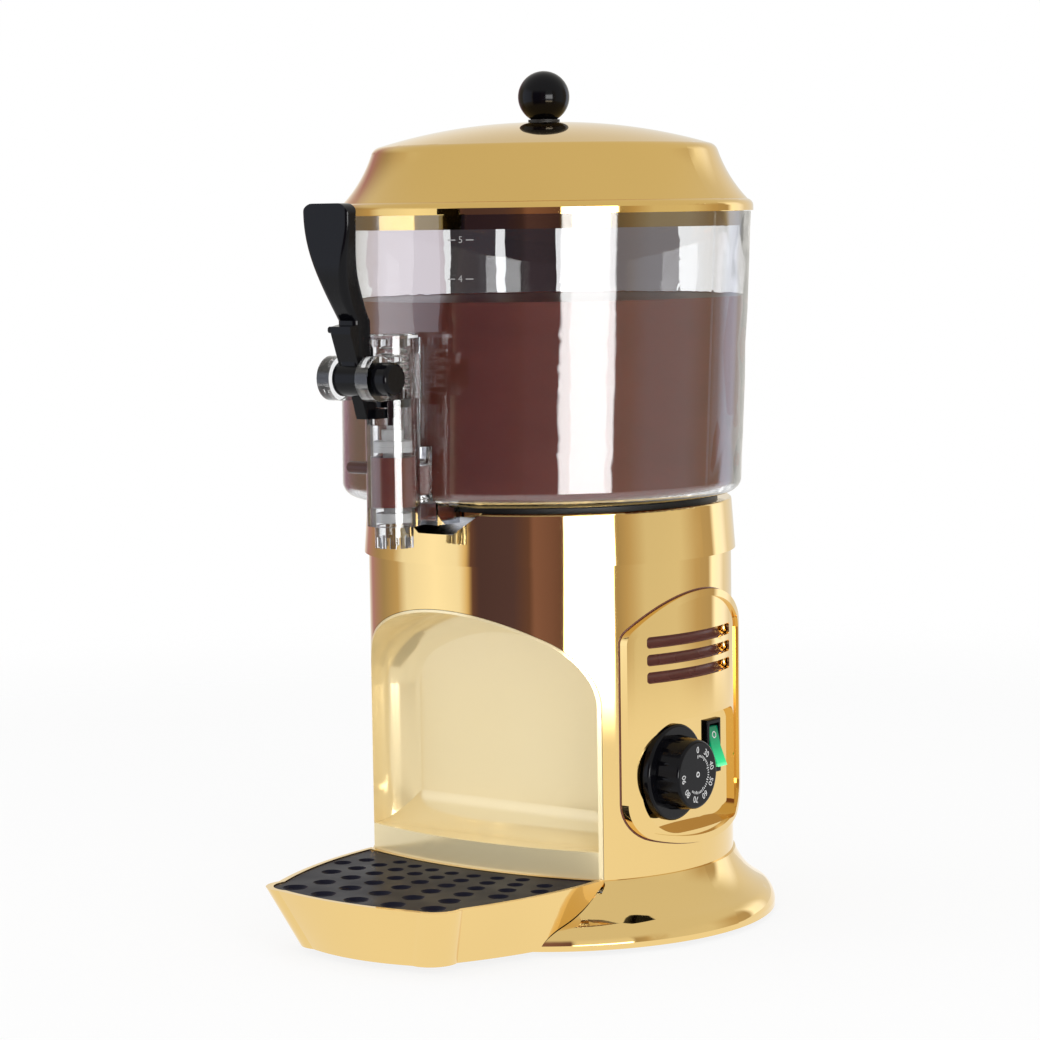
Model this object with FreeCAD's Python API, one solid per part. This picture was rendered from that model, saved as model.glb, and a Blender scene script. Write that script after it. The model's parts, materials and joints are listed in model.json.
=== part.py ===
import FreeCAD, Part
import math
import os
from FreeCAD import Vector

os.makedirs("parts", exist_ok=True)

# A hot chocolate dispenser, in millimetres. Z is up, the front faces -Y and the control panel is on +X.
# The origin is on the counter, on the axis of the bowl and of the cylindrical body.

# Sheet metal, moulded walls and clearances
SHEET = 1.5
GAP = 0.3
RUNNING = 0.05

# Flared base foot
FOOT_R = 128.5
FOOT_LOW_Z = 3.0
FOOT_RIM_H = 3.0
SHOULDER_H = 9.9
SHOULDER_IN = 6.5
SHOULDER_SAG = 1.4
FLARE_SAG = 2.2
FOOT_TOP_Z = 36.0
FOOT_LIP = 1.1
NECK_H = 8.0
FOOT_WALL = 2.0

# Rubber foot ring and bottom plate
PAD_HALF_W = 8.0
PAD_CIRCLE_R = 104.0
PAD_H = 4.0
PLATE_T = 1.5
VENT_SLOTS = 9
VENT_L = 46.0
VENT_W = 4.0
VENT_PITCH = 9.0
BASE_SCREW_R = 2.0

# Cylindrical body
BODY_R = 104.5
BODY_TOP_Z = 216.0

# Cup alcove in the front of the body
NICHE_HALF = 82.4
NICHE_SPRING_Z = 132.0
NICHE_CORNER_R = 44.0
NICHE_TOP_Z = 186.0
NICHE_BACK_Y = -44.0
NICHE_FLOOR_Z = 52.0
NICHE_FILLET = 18.0
LEDGE_Y = -79.0
LEDGE_BOW = 13.0
SHELF_Z = 31.5

# Upper collar
COLLAR_LOW_Z = 211.0
COLLAR_TOP_Z = 240.0
COLLAR_LOW_R = BODY_R + 2.5
COLLAR_TOP_R = BODY_R + 0.5
COLLAR_EDGE = 1.4
COLLAR_LIP_R = 91.0
NOTCH_TOP_HALF = 28.7
NOTCH_LOW_HALF = 12.0
NOTCH_LOW_Z = 228.0

# Water tank, heater and gasket
TANK_R = 88.0
TANK_LOW_Z = 200.0
TANK_WALL = 1.2
TANK_FLANGE_R = 95.7
HEATER_R = 60.0
HEATER_TUBE_R = 4.0
HEATER_LEG_ANGLE = 12.0
GASKET_IN_R = 90.0
GASKET_OUT_R = 97.0

# Drive
SHAFT_R = 5.0
SHAFT_TUBE_R = 9.0
SHAFT_TUBE_TOP_Z = COLLAR_TOP_Z - 4.0
BUSH_L = 10.0
BUSH_FLANGE_T = 1.5
DECK_Z = 190.0
DECK_T = 2.0
GEARBOX_HALF_X = 34.0
GEARBOX_FRONT_Y = -36.0
GEARBOX_BACK_Y = 44.0
GEARBOX_H = 34.0
MOTOR_R = 30.0
MOTOR_L = 62.0
MOTOR_SCREW_R = 2.0
MOTOR_SCREW_INSET = 7.0
HEX_ACROSS = 8.0
HEX_L = 7.0

# Bowl
BOWL_TOP_Z = 403.0
BOWL_TOP_R = 117.5
BOWL_LOW_Z = 244.0
BOWL_LOW_R = 114.3
BOWL_LOW_FORWARD = 7.0
BOWL_EDGE_R = 8.0
BOWL_WALL = 3.0
PLATE_HOLE_R = 82.0
PLATE_FLANGE_R = 88.0
PLATE_TUBE_R = 8.0
PLATE_TUBE_TOP_Z = BOWL_LOW_Z + 54.0
SEAL_T = 1.0

# Sump below the bowl's floor
SUMP_HALF = 12.5
SUMP_BACK_Y = -99.0
SUMP_FRONT_Y = -118.5
SUMP_LOW_Z = BOWL_LOW_Z - 9.5
SUMP_WALL = 2.0

# Stirrer
STIRRER_LOW_Z = BOWL_LOW_Z + 7.5
STIRRER_HUB_R = 12.0
STIRRER_ARM_W = 9.0
STIRRER_ARM_H = 7.0
STIRRER_R = 92.0
STIRRER_BLADE_T = 3.0
STIRRER_BLADE_H = 46.0
STIRRER_BLADE_ANGLE = 36.0

# Tap column
TAP_Y = -140.5
TAP_R = 14.6
TAP_LOW_Z = BOWL_LOW_Z - 8.0
TAP_TOP_Z = TAP_LOW_Z + 101.0
SEAT_R = 9.9
SEAT_H = 10.0
CHAMBER_R = 12.2
CHAMBER_TOP_Z = TAP_LOW_Z + 38.0
GUIDE_R = 10.8
DUCT_HALF = 10.5
DUCT_LOW_Z = BOWL_LOW_Z + 4.0
DUCT_TOP_Z = BOWL_LOW_Z + 34.0
DUCT_WALL = 3.5
WEB_HALF = 3.0
CAP_T = 3.0
CAP_PLUG_H = 4.0
NOZZLE_R = 10.5
NOZZLE_BORE_R = 8.2
NOZZLE_LOW_Z = TAP_LOW_Z - 12.0
NOZZLE_TEETH = 10
NOZZLE_TOOTH_H = 6.0
NOZZLE_TOOTH_GAP = 2.6
LOCK_PIN_R = 3.4
LOCK_PIN_Z = TAP_LOW_Z + 30.5
LOCK_PIN_END_X = -31.0

# Tap piston and spring
PLUG_LOW_Z = TAP_LOW_Z + 2.0
PLUG_H = 5.0
STEM_R = 5.5
LAND_LOW_Z = TAP_LOW_Z + 40.0
LAND_H = 6.0
UPPER_STEM_R = 6.0
UPPER_STEM_TOP_Z = LAND_LOW_Z + 12.0
NECK_R = 3.2
HEAD_LOW_Z = TAP_LOW_Z + 64.4
HEAD_H = 5.0
HEAD_R = 10.4
HEAD_BOSS_R = 5.0
HEAD_BOSS_H = 4.0
SEAL_WIRE_R = 1.0
SPRING_R = 8.0
SPRING_WIRE_R = 0.65
SPRING_TURNS = 5.5

# Tap lever and its pin
PIVOT_Y = -170.0
PIVOT_Z = TAP_LOW_Z + 81.0
EAR_R = 12.0
EAR_IN_X = 9.0
EAR_OUT_X = 17.5
EAR_ARM_X = 14.6
PIN_R = 3.5
PIN_HEAD_R = 8.9
PIN_HEAD_X = 27.5
HUB_R = 9.6
TAIL_HALF = 3.6
TAIL_FRONT = 4.0
TAIL_BACK = 12.0
FORK_HALF = 6.4
FORK_SLOT_HALF = 3.8
FORK_REACH = 23.0
FORK_TIP_R = 2.5
FORK_HEAD_GAP = 0.4
PADDLE_L = 93.0
PADDLE_W = 31.6
PADDLE_T = 15.5
PADDLE_LEAN = 19.1
PADDLE_CORNER_R = 7.0
STEM_W = 14.5
STEM_T = 12.5
SHOULDER_RISE = 28.0
# The paddle's sections as shares of its length, lean, breadth and thickness, from the stem to the top
PADDLE_SHAPE = (
    (0.333, 0.03, 0.443, 0.87), (0.409, 0.262, 0.443, 0.968), (0.488, 0.471, 0.506, 1.0),
    (0.609, 0.743, 0.649, 0.871), (0.731, 0.911, 0.823, 0.71), (0.849, 0.984, 0.965, 0.542),
    (0.946, 1.0, 1.0, 0.529), (1.0, 1.0, 1.0, 0.49))

# Lid and its ball
LID_RIM_R = BOWL_TOP_R + 1.3
LID_RIM_TOP_Z = BOWL_TOP_Z + 3.5
LID_FLANK_LOW_R = LID_RIM_R - 3.2
LID_FLANK_LOW_Z = BOWL_TOP_Z + 7.0
LID_FLANK_TOP_R = LID_RIM_R - 19.9
LID_FLANK_TOP_Z = BOWL_TOP_Z + 34.6
LID_FLANK_SAG = 1.7
LID_DOME_R = LID_RIM_R - 24.8
LID_DOME_EDGE_Z = BOWL_TOP_Z + 38.9
LID_TOP_Z = BOWL_TOP_Z + 51.8
LID_SKIRT_H = 8.0
LID_SCREW_R = 2.5
BALL_R = 14.7
BALL_Z = LID_TOP_Z + 14.4
BALL_FLAT_Z = LID_TOP_Z + 1.6
WASHER_R = 9.0

# Side panel: curved band on the body, around the +X direction
PANEL_HALF = 55.7
PANEL_LOW_Z = 51.0
PANEL_LOW_SIDE_Z = 62.0
PANEL_SIDE_TOP_Z = 171.0
PANEL_TOP_Z = 193.0
PANEL_LOW_CORNER_R = 22.0
PANEL_TOP_CORNER_R = 10.0
PANEL_FACE_X = BODY_R + 2.5
PANEL_FACE_R = BODY_R + 17.2
PANEL_RIDGE_W = 4.0
PANEL_FIELD_DROP = 1.8
PANEL_FACE_PROUD = 10.0
POCKET_X = PANEL_FACE_X - 13.0
POCKET_LEFT_Y = -46.0
POCKET_RIGHT_Y = 44.5
POCKET_LOW_Z = 58.0
POCKET_TOP_Z = 121.5
POCKET_CORNER_R = 26.0
LOUVRE_COUNT = 3
LOUVRE_TOP_Z = 166.8
LOUVRE_PITCH = 9.8
LOUVRE_H = 6.4
LOUVRE_LEFT_Y = -42.3
LOUVRE_RIGHT_Y = 36.0

# Thermostat and knob
KNOB_Y = -21.5
KNOB_Z = 92.3
KNOB_SKIRT_R = 27.0
KNOB_SKIRT_X = POCKET_X + 4.0
KNOB_SKIRT_T = 4.5
KNOB_FACE_R = 19.0
KNOB_FACE_X = KNOB_SKIRT_X + 18.5
KNOB_GRIPS = 16
SPINDLE_R = 3.0
THERMOSTAT_R = 13.5
THERMOSTAT_L = 22.0
BOSS_R = 6.0

# Rocker switch
SWITCH_Y = 25.0
SWITCH_Z = 100.0
SWITCH_HALF_W = 7.0
SWITCH_HALF_H = 15.5
SWITCH_PROUD = 2.4
SWITCH_DEPTH = 20.0
ROCKER_HALF_W = 4.6
ROCKER_HALF_H = 11.0
ROCKER_TIP = 8.0
ROCKER_END_GAP = 2.0
ROCKER_PIN_R = 1.2
ROCKER_PIN_L = 1.2

# Drip tray and grille
TRAY_TOP_Z = 37.0
TRAY_LOW_Z = 4.0
TRAY_WALL = 2.0
TRAY_BACK_HALF = 83.6
TRAY_FRONT_HALF = 65.0
TRAY_SIDE_BOW = 5.0
TRAY_FRONT_Y = -168.0
TRAY_CORNER = 16.0
TRAY_NOSE_Y = -192.0
TRAY_NOSE_BOW = 5.5
TRAY_DRAFT_SIDE = 14.0
TRAY_DRAFT_BACK = 5.0
TRAY_DRAFT_FRONT = 12.0
TRAY_FOOT_GAP = 1.2
GRILLE_T = 1.8
GRILLE_RIM = 3.0
GRILLE_SEAT = 2.5
GRILLE_FAN_Y = 32.0
GRILLE_FAN_R = 210.5
GRILLE_FAN_STEP = 6.7
GRILLE_ROWS = 9
GRILLE_ROW_RATIO = 0.905
GRILLE_DIMPLE_RATIO = 0.034
GRILLE_HOLE_RATIO = 0.6

# Cord gland and terminal block
GLAND_X = 34.0
GLAND_Z = 58.0
GLAND_R = 9.0
GLAND_BORE_R = 4.0
GLAND_L = 16.0
TERMINAL_L = 36.0
TERMINAL_W = 16.0
TERMINAL_H = 14.0


def rod(radius, start, end):
    """A cylinder between two points."""
    run = end - start
    return Part.makeCylinder(radius, run.Length, start, run)


def upright(radius, low_z, top_z, x=0.0, y=0.0):
    return rod(radius, Vector(x, y, low_z), Vector(x, y, top_z))


def block(low, high):
    """A box between its lowest and its highest corner."""
    return Part.makeBox(high[0] - low[0], high[1] - low[1], high[2] - low[2], Vector(*low))


def path_face(start, steps, place):
    """A closed face. A step is an end point, or a pair of a point on an arc and the arc's end."""
    here = place(*start)
    edges = []
    for step in steps:
        if isinstance(step[0], tuple):
            end = place(*step[1])
            edges.append(Part.Arc(here, place(*step[0]), end).toShape())
        else:
            end = place(*step)
            edges.append(Part.LineSegment(here, end).toShape())
        here = end
    edges.append(Part.LineSegment(here, place(*start)).toShape())
    return Part.Face(Part.Wire(edges))


def spun(start, *steps):
    """A solid turned about the Z axis from a profile of (radius, z) points."""
    face = path_face(start, steps, lambda r, z: Vector(r, 0, z))
    return face.revolve(Vector(0, 0, 0), Vector(0, 0, 1), 360)


def bowed(a, b, sag):
    """The middle of a shallow arc from a to b, which lies sag to the left of the chord."""
    run = (b[0] - a[0], b[1] - a[1])
    length = math.hypot(*run)
    return ((a[0] + b[0]) / 2 - sag * run[1] / length, (a[1] + b[1]) / 2 + sag * run[0] / length)


def save(name, shape):
    shape.exportStep("parts/" + name + ".step")


# Base foot

def flare(outward, down):
    """The foot's side as corner points and arc middles, moved outward and down."""
    rim_top = (FOOT_R + outward, FOOT_LOW_Z + FOOT_RIM_H - down)
    elbow = (FOOT_R - SHOULDER_IN + outward, FOOT_LOW_Z + FOOT_RIM_H + SHOULDER_H - down)
    neck = (BODY_R + FOOT_LIP + outward, FOOT_TOP_Z - down)
    return rim_top, bowed(rim_top, elbow, -SHOULDER_SAG), elbow, bowed(elbow, neck, FLARE_SAG), neck


def foot_envelope(outward, top_z):
    """Everything inside the foot's side, moved outward, up to a height."""
    rim_top, shoulder, elbow, hollow, neck = flare(outward, 0)
    whole = spun((0, 0), (rim_top[0], 0), rim_top, (shoulder, elbow), (hollow, neck), (0, neck[1]))
    return whole.common(upright(2 * FOOT_R, 0, top_z))


def base_foot():
    rim_top, shoulder, elbow, hollow, neck = flare(0, 0)
    in_rim, in_shoulder, in_elbow, in_hollow, in_neck = flare(-FOOT_WALL, SHEET)
    neck_r = BODY_R - SHEET - GAP
    foot = spun(
        (FOOT_R, FOOT_LOW_Z), rim_top, (shoulder, elbow), (hollow, neck),
        (neck_r, FOOT_TOP_Z), (neck_r, FOOT_TOP_Z + NECK_H),
        (neck_r - SHEET, FOOT_TOP_Z + NECK_H), (neck_r - SHEET, in_neck[1]), in_neck,
        (in_hollow, in_elbow), (in_shoulder, in_rim), (in_rim[0], FOOT_LOW_Z))
    # The front of the neck is cut away down to the shelf that the tray's rear edge lies over.
    for half, back_y in ((NICHE_HALF, NICHE_BACK_Y), (TRAY_BACK_HALF + GAP, ledge_y(TRAY_BACK_HALF, 0) + GAP)):
        low_z = SHELF_Z - SHEET - GAP
        foot = foot.cut(block((-half, -FOOT_R, low_z), (half, back_y, FOOT_TOP_Z + NECK_H + SHEET)))
    return foot


def pad_places():
    for quarter in range(4):
        angle = math.radians(45 + 90 * quarter)
        yield math.cos(angle), math.sin(angle)


PLATE_LOW_Z = PAD_H
PLATE_R = FOOT_R - FOOT_WALL - GAP


def bottom_plate():
    plate = upright(PLATE_R, PLATE_LOW_Z, PLATE_LOW_Z + PLATE_T)
    # The rim's curve closes in above the plate, so the plate's edge is trimmed to it.
    plate = plate.common(foot_envelope(-FOOT_WALL - GAP, FOOT_TOP_Z))
    for slot in range(VENT_SLOTS):
        y = (slot - (VENT_SLOTS - 1) / 2) * VENT_PITCH
        ends = [Vector(side * (VENT_L - VENT_W) / 2, y, PLATE_LOW_Z - 1) for side in (-1, 1)]
        low = (ends[0].x, y - VENT_W / 2, PLATE_LOW_Z - 1)
        high = (ends[1].x, y + VENT_W / 2, PLATE_LOW_Z + PLATE_T + 1)
        plate = plate.cut(block(low, high))
        for end in ends:
            plate = plate.cut(Part.makeCylinder(VENT_W / 2, PLATE_T + 2, end))
    for x, y in pad_places():
        place = (x * PAD_CIRCLE_R, y * PAD_CIRCLE_R)
        plate = plate.cut(upright(BASE_SCREW_R + GAP, PLATE_LOW_Z - 1, PLATE_LOW_Z + PLATE_T + 1, *place))
    return plate


def foot_ring():
    """The rubber ring that the machine stands on, with four sunk screw holes."""
    inner = PAD_CIRCLE_R - PAD_HALF_W
    outer = PAD_CIRCLE_R + PAD_HALF_W
    chamfer = PAD_H / 4
    ring = spun(
        (inner + chamfer, 0), (outer - chamfer, 0), (outer, chamfer), (outer, PAD_H), (inner, PAD_H),
        (inner, chamfer))
    for x, y in pad_places():
        place = (x * PAD_CIRCLE_R, y * PAD_CIRCLE_R)
        ring = ring.cut(upright(BASE_SCREW_R + GAP, -1, PAD_H + 1, *place))
        ring = ring.cut(upright(2 * BASE_SCREW_R + GAP, -1, PAD_H / 2, *place))
    return ring


def base_screws():
    """A screw up through each hole of the ring and the plate into a clinched nut above it."""
    screws = []
    for x, y in pad_places():
        place = (x * PAD_CIRCLE_R, y * PAD_CIRCLE_R)
        head = upright(2 * BASE_SCREW_R, PAD_H / 2 - BASE_SCREW_R + GAP, PAD_H / 2, *place)
        shank = upright(BASE_SCREW_R, PAD_H / 2 - 0.1, PLATE_LOW_Z + PLATE_T + 2 * BASE_SCREW_R, *place)
        nut_low = PLATE_LOW_Z + PLATE_T
        nut = upright(2 * BASE_SCREW_R, nut_low, nut_low + 1.6 * BASE_SCREW_R, *place)
        screws.append(head.fuse([shank, nut]).removeSplitter())
    return Part.makeCompound(screws)


# Body and alcove

def niche_face(inset, low_z, y):
    """The alcove's outline: straight sides, rounded corners and a flatter crown, all tangent."""
    half = NICHE_HALF - inset
    corner = NICHE_CORNER_R - inset
    top = NICHE_TOP_Z - inset
    centre = NICHE_HALF - NICHE_CORNER_R
    rise = top - NICHE_SPRING_Z
    crown = (centre ** 2 + rise ** 2 - corner ** 2) / (2 * (rise - corner))
    lean = math.atan2(NICHE_SPRING_Z - (top - crown), centre)
    meet = (crown * math.cos(lean), top - crown + crown * math.sin(lean))
    side = (centre + corner * math.cos(lean / 2), NICHE_SPRING_Z + corner * math.sin(lean / 2))
    steps = [
        (half, NICHE_SPRING_Z), (side, meet), ((0, top), (-meet[0], meet[1])),
        ((-side[0], side[1]), (-half, NICHE_SPRING_Z)), (-half, low_z)]
    return path_face((half, low_z), steps, lambda x, z: Vector(x, y, z))


def niche_prism(inset, low_z, back_y):
    return niche_face(inset, low_z, back_y).extrude(Vector(0, -2 * BODY_R, 0))


LEDGE_R = (NICHE_HALF ** 2 + LEDGE_BOW ** 2) / (2 * LEDGE_BOW)


def ledge_y(x, outward):
    """Where the ledge's bowed front, moved outward, lies at a distance from the middle."""
    return LEDGE_Y + LEDGE_R - math.sqrt((LEDGE_R + outward) ** 2 - x ** 2)


def ledge_round(inset, low_z, top_z):
    """The upright cylinder whose front is the ledge's bowed face."""
    return upright(LEDGE_R - inset, low_z, top_z, 0, LEDGE_Y + LEDGE_R)


def body_shell():
    shell = upright(BODY_R, FOOT_TOP_Z, BODY_TOP_Z).cut(upright(BODY_R - SHEET, 0, BODY_TOP_Z + 1))
    shell = shell.cut(niche_prism(0, 0, NICHE_BACK_Y + SHEET))
    shell = shell.cut(panel_prism(PANEL_RIDGE_W / 2))
    gland = rod(GLAND_R - SHEET, Vector(GLAND_X, 0, GLAND_Z), Vector(GLAND_X, 2 * BODY_R, GLAND_Z))
    return shell.cut(gland)


def niche_liner():
    wall = GAP + SHEET
    shelf_low = SHELF_Z - SHEET
    outer = niche_prism(GAP, shelf_low, NICHE_BACK_Y + SHEET).common(upright(BODY_R, shelf_low, BODY_TOP_Z))
    inner = niche_prism(wall, NICHE_FLOOR_Z, NICHE_BACK_Y)
    back_y = NICHE_BACK_Y - 0.01
    inner = inner.makeFillet(NICHE_FILLET, [e for e in inner.Edges if e.BoundBox.YMin > back_y])
    front = block((-BODY_R, -BODY_R, SHELF_Z), (BODY_R, NICHE_BACK_Y - NICHE_FILLET, NICHE_FLOOR_Z))
    front = front.cut(ledge_round(0, 0, BODY_TOP_Z))
    under = block(
        (-NICHE_HALF + wall, -BODY_R, 0), (NICHE_HALF - wall, NICHE_BACK_Y, NICHE_FLOOR_Z - SHEET))
    under = under.common(ledge_round(SHEET, 0, BODY_TOP_Z))
    return outer.cut(inner).cut(front).cut(under)


# Collar, tank and drive

def upper_collar():
    seat_z = COLLAR_TOP_Z - TANK_WALL
    inner_r = BODY_R - SHEET
    outside = COLLAR_TOP_R - COLLAR_EDGE
    edge_z = COLLAR_TOP_Z - COLLAR_EDGE
    knuckle = (outside + COLLAR_EDGE * math.sqrt(0.5), edge_z + COLLAR_EDGE * math.sqrt(0.5))
    collar = spun(
        (COLLAR_LOW_R, COLLAR_LOW_Z), (COLLAR_TOP_R, edge_z), (knuckle, (outside, COLLAR_TOP_Z)),
        (TANK_FLANGE_R + GAP, COLLAR_TOP_Z), (TANK_FLANGE_R + GAP, seat_z), (COLLAR_LIP_R, seat_z),
        (COLLAR_LIP_R, seat_z - SHEET), (inner_r, seat_z - SHEET), (inner_r, BODY_TOP_Z),
        (BODY_R + GAP, BODY_TOP_Z), (BODY_R + GAP, COLLAR_LOW_Z))
    notch = path_face(
        (-NOTCH_LOW_HALF, NOTCH_LOW_Z),
        [(NOTCH_LOW_HALF, NOTCH_LOW_Z), (NOTCH_TOP_HALF, COLLAR_TOP_Z), (NOTCH_TOP_HALF, COLLAR_TOP_Z + 1),
         (-NOTCH_TOP_HALF, COLLAR_TOP_Z + 1), (-NOTCH_TOP_HALF, COLLAR_TOP_Z)],
        lambda x, z: Vector(x, -GASKET_OUT_R - GAP, z))
    return collar.cut(notch.extrude(Vector(0, -2 * SHOULDER_H, 0)))


def heater_legs():
    for side in (-1, 1):
        angle = math.radians(90 + side * HEATER_LEG_ANGLE)
        yield HEATER_R * math.cos(angle), HEATER_R * math.sin(angle)


HEATER_Z = TANK_LOW_Z + TANK_WALL + 1.5 * HEATER_TUBE_R
DECK_TOP_Z = DECK_Z + DECK_T


def water_tank():
    seat_z = COLLAR_TOP_Z - TANK_WALL
    floor_z = TANK_LOW_Z + TANK_WALL
    tube_in_r = SHAFT_TUBE_R - TANK_WALL
    tank = spun(
        (tube_in_r, TANK_LOW_Z), (TANK_R, TANK_LOW_Z), (TANK_R, seat_z), (TANK_FLANGE_R, seat_z),
        (TANK_FLANGE_R, COLLAR_TOP_Z), (TANK_R - TANK_WALL, COLLAR_TOP_Z), (TANK_R - TANK_WALL, floor_z),
        (SHAFT_TUBE_R, floor_z), (SHAFT_TUBE_R, SHAFT_TUBE_TOP_Z), (tube_in_r, SHAFT_TUBE_TOP_Z))
    for x, y in heater_legs():
        tank = tank.cut(upright(HEATER_TUBE_R + RUNNING, TANK_LOW_Z - 1, floor_z + 1, x, y))
    return tank


def heating_element():
    """An open ring of tube whose two ends turn down through the tank's floor."""
    legs = list(heater_legs())
    ring = Part.makeTorus(
        HEATER_R, HEATER_TUBE_R, Vector(0, 0, HEATER_Z), Vector(0, 0, 1), 0, 360, 360 - 2 * HEATER_LEG_ANGLE)
    ring.rotate(Vector(0, 0, 0), Vector(0, 0, 1), 90 + HEATER_LEG_ANGLE)
    pieces = [ring]
    for x, y in legs:
        pieces.append(upright(HEATER_TUBE_R, DECK_TOP_Z + GAP, HEATER_Z, x, y))
        pieces.append(Part.makeSphere(HEATER_TUBE_R, Vector(x, y, HEATER_Z)))
    return pieces[0].fuse(pieces[1:]).removeSplitter()


def bowl_gasket():
    top_z = BOWL_LOW_Z - GAP
    chamfer = 1.5
    return spun(
        (GASKET_IN_R, COLLAR_TOP_Z), (GASKET_OUT_R, COLLAR_TOP_Z), (GASKET_OUT_R, top_z - chamfer),
        (GASKET_OUT_R - chamfer, top_z), (GASKET_IN_R, top_z))


def shaft_bush():
    bore = SHAFT_R + RUNNING
    outer = SHAFT_TUBE_R - TANK_WALL
    low_z = SHAFT_TUBE_TOP_Z - BUSH_L
    top_z = SHAFT_TUBE_TOP_Z + BUSH_FLANGE_T
    return spun(
        (bore, low_z), (outer, low_z), (outer, SHAFT_TUBE_TOP_Z), (SHAFT_TUBE_R, SHAFT_TUBE_TOP_Z),
        (SHAFT_TUBE_R, top_z), (bore, top_z))


def hexagon(across, z):
    corner = across / math.sqrt(3)
    points = []
    for i in range(7):
        angle = i * math.pi / 3
        points.append(Vector(corner * math.cos(angle), corner * math.sin(angle), z))
    return Part.Face(Part.makePolygon(points))


HEX_LOW_Z = PLATE_TUBE_TOP_Z + 1.0
GEARBOX_TOP_Z = DECK_Z


def drive_shaft():
    """From inside the gearbox up through the tank and the bowl to the stirrer's hexagon."""
    shaft = upright(SHAFT_R, GEARBOX_TOP_Z - GEARBOX_H / 2, HEX_LOW_Z)
    return shaft.fuse(hexagon(HEX_ACROSS, HEX_LOW_Z).extrude(Vector(0, 0, HEX_L))).removeSplitter()


def motor_screw_places():
    for x in (MOTOR_SCREW_INSET - GEARBOX_HALF_X, GEARBOX_HALF_X - MOTOR_SCREW_INSET):
        for y in (GEARBOX_FRONT_Y + MOTOR_SCREW_INSET, GEARBOX_BACK_Y - MOTOR_SCREW_INSET):
            yield x, y


def mounting_deck():
    deck = upright(BODY_R - SHEET - GAP, DECK_Z, DECK_TOP_Z)
    deck = deck.cut(upright(SHAFT_R + 2 * SHEET, DECK_Z - 1, DECK_TOP_Z + 1))
    for x, y in motor_screw_places():
        deck = deck.cut(upright(MOTOR_SCREW_R + GAP, DECK_Z - 1, DECK_TOP_Z + 1, x, y))
    return deck


def gear_motor():
    """A gearbox under the deck with the motor's can hanging from its rear half."""
    low_z = GEARBOX_TOP_Z - GEARBOX_H
    box = block((-GEARBOX_HALF_X, GEARBOX_FRONT_Y, low_z), (GEARBOX_HALF_X, GEARBOX_BACK_Y, GEARBOX_TOP_Z))
    box = box.makeFillet(4.0, [e for e in box.Edges if e.BoundBox.ZLength > GEARBOX_H / 2])
    can_y = GEARBOX_BACK_Y - MOTOR_R - 2 * SHEET
    can = upright(MOTOR_R, low_z - MOTOR_L, low_z, 0, can_y)
    can = can.makeChamfer(3.0, [e for e in can.Edges if e.BoundBox.ZMax < low_z - MOTOR_L + 0.01])
    whole = box.fuse(can)
    whole = whole.cut(upright(SHAFT_R + RUNNING, GEARBOX_TOP_Z - GEARBOX_H / 2 - GAP, GEARBOX_TOP_Z + 1))
    for x, y in motor_screw_places():
        whole = whole.cut(upright(MOTOR_SCREW_R, GEARBOX_TOP_Z - 5 * MOTOR_SCREW_R, GEARBOX_TOP_Z + 1, x, y))
    return whole


def motor_screws():
    screws = []
    for x, y in motor_screw_places():
        head = upright(2 * MOTOR_SCREW_R, DECK_TOP_Z, DECK_TOP_Z + 1.2 * MOTOR_SCREW_R, x, y)
        shank = upright(MOTOR_SCREW_R, GEARBOX_TOP_Z - 4 * MOTOR_SCREW_R, DECK_TOP_Z + 0.1, x, y)
        screws.append(head.fuse(shank).removeSplitter())
    return Part.makeCompound(screws)


# Bowl

def bowl_form(inset, low_z, edge_r):
    """The bowl's body: a leaning cone between two circles, with a rounded bottom edge."""
    lean = (low_z - BOWL_LOW_Z) / (BOWL_TOP_Z - BOWL_LOW_Z)
    low_r = BOWL_LOW_R + (BOWL_TOP_R - BOWL_LOW_R) * lean - inset
    low_y = -BOWL_LOW_FORWARD * (1 - lean)
    up = Vector(0, 0, 1)
    low = Part.Wire(Part.makeCircle(low_r, Vector(0, low_y, low_z), up))
    top = Part.Wire(Part.makeCircle(BOWL_TOP_R - inset, Vector(0, 0, BOWL_TOP_Z), up))
    form = Part.makeLoft([low, top], True, True)
    return form.makeFillet(edge_r, [e for e in form.Edges if e.BoundBox.ZMax < low_z + 0.01])


def sump_block(wall, top_z):
    return block(
        (-SUMP_HALF + wall, SUMP_FRONT_Y + wall, SUMP_LOW_Z + wall),
        (SUMP_HALF - wall, SUMP_BACK_Y - wall, top_z))


def duct_passage():
    """The way from the bowl's front wall into the tap's chamber."""
    half = DUCT_HALF - DUCT_WALL
    high = (half, -BOWL_TOP_R + 3 * BOWL_WALL, DUCT_TOP_Z - 3 * DUCT_WALL)
    return block((-half, TAP_Y, DUCT_LOW_Z + DUCT_WALL), high)


def bowl():
    floor_z = BOWL_LOW_Z + BOWL_WALL
    solid = bowl_form(0, BOWL_LOW_Z, BOWL_EDGE_R)
    solid = solid.fuse(sump_block(0, floor_z + 1)).removeSplitter()
    solid = solid.cut(bowl_form(BOWL_WALL, floor_z, BOWL_EDGE_R - BOWL_WALL))
    solid = solid.cut(sump_block(SUMP_WALL, floor_z + SUMP_WALL))
    solid = solid.cut(upright(PLATE_HOLE_R, BOWL_LOW_Z - 1, floor_z + 1))
    return solid.cut(duct_passage())


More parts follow.
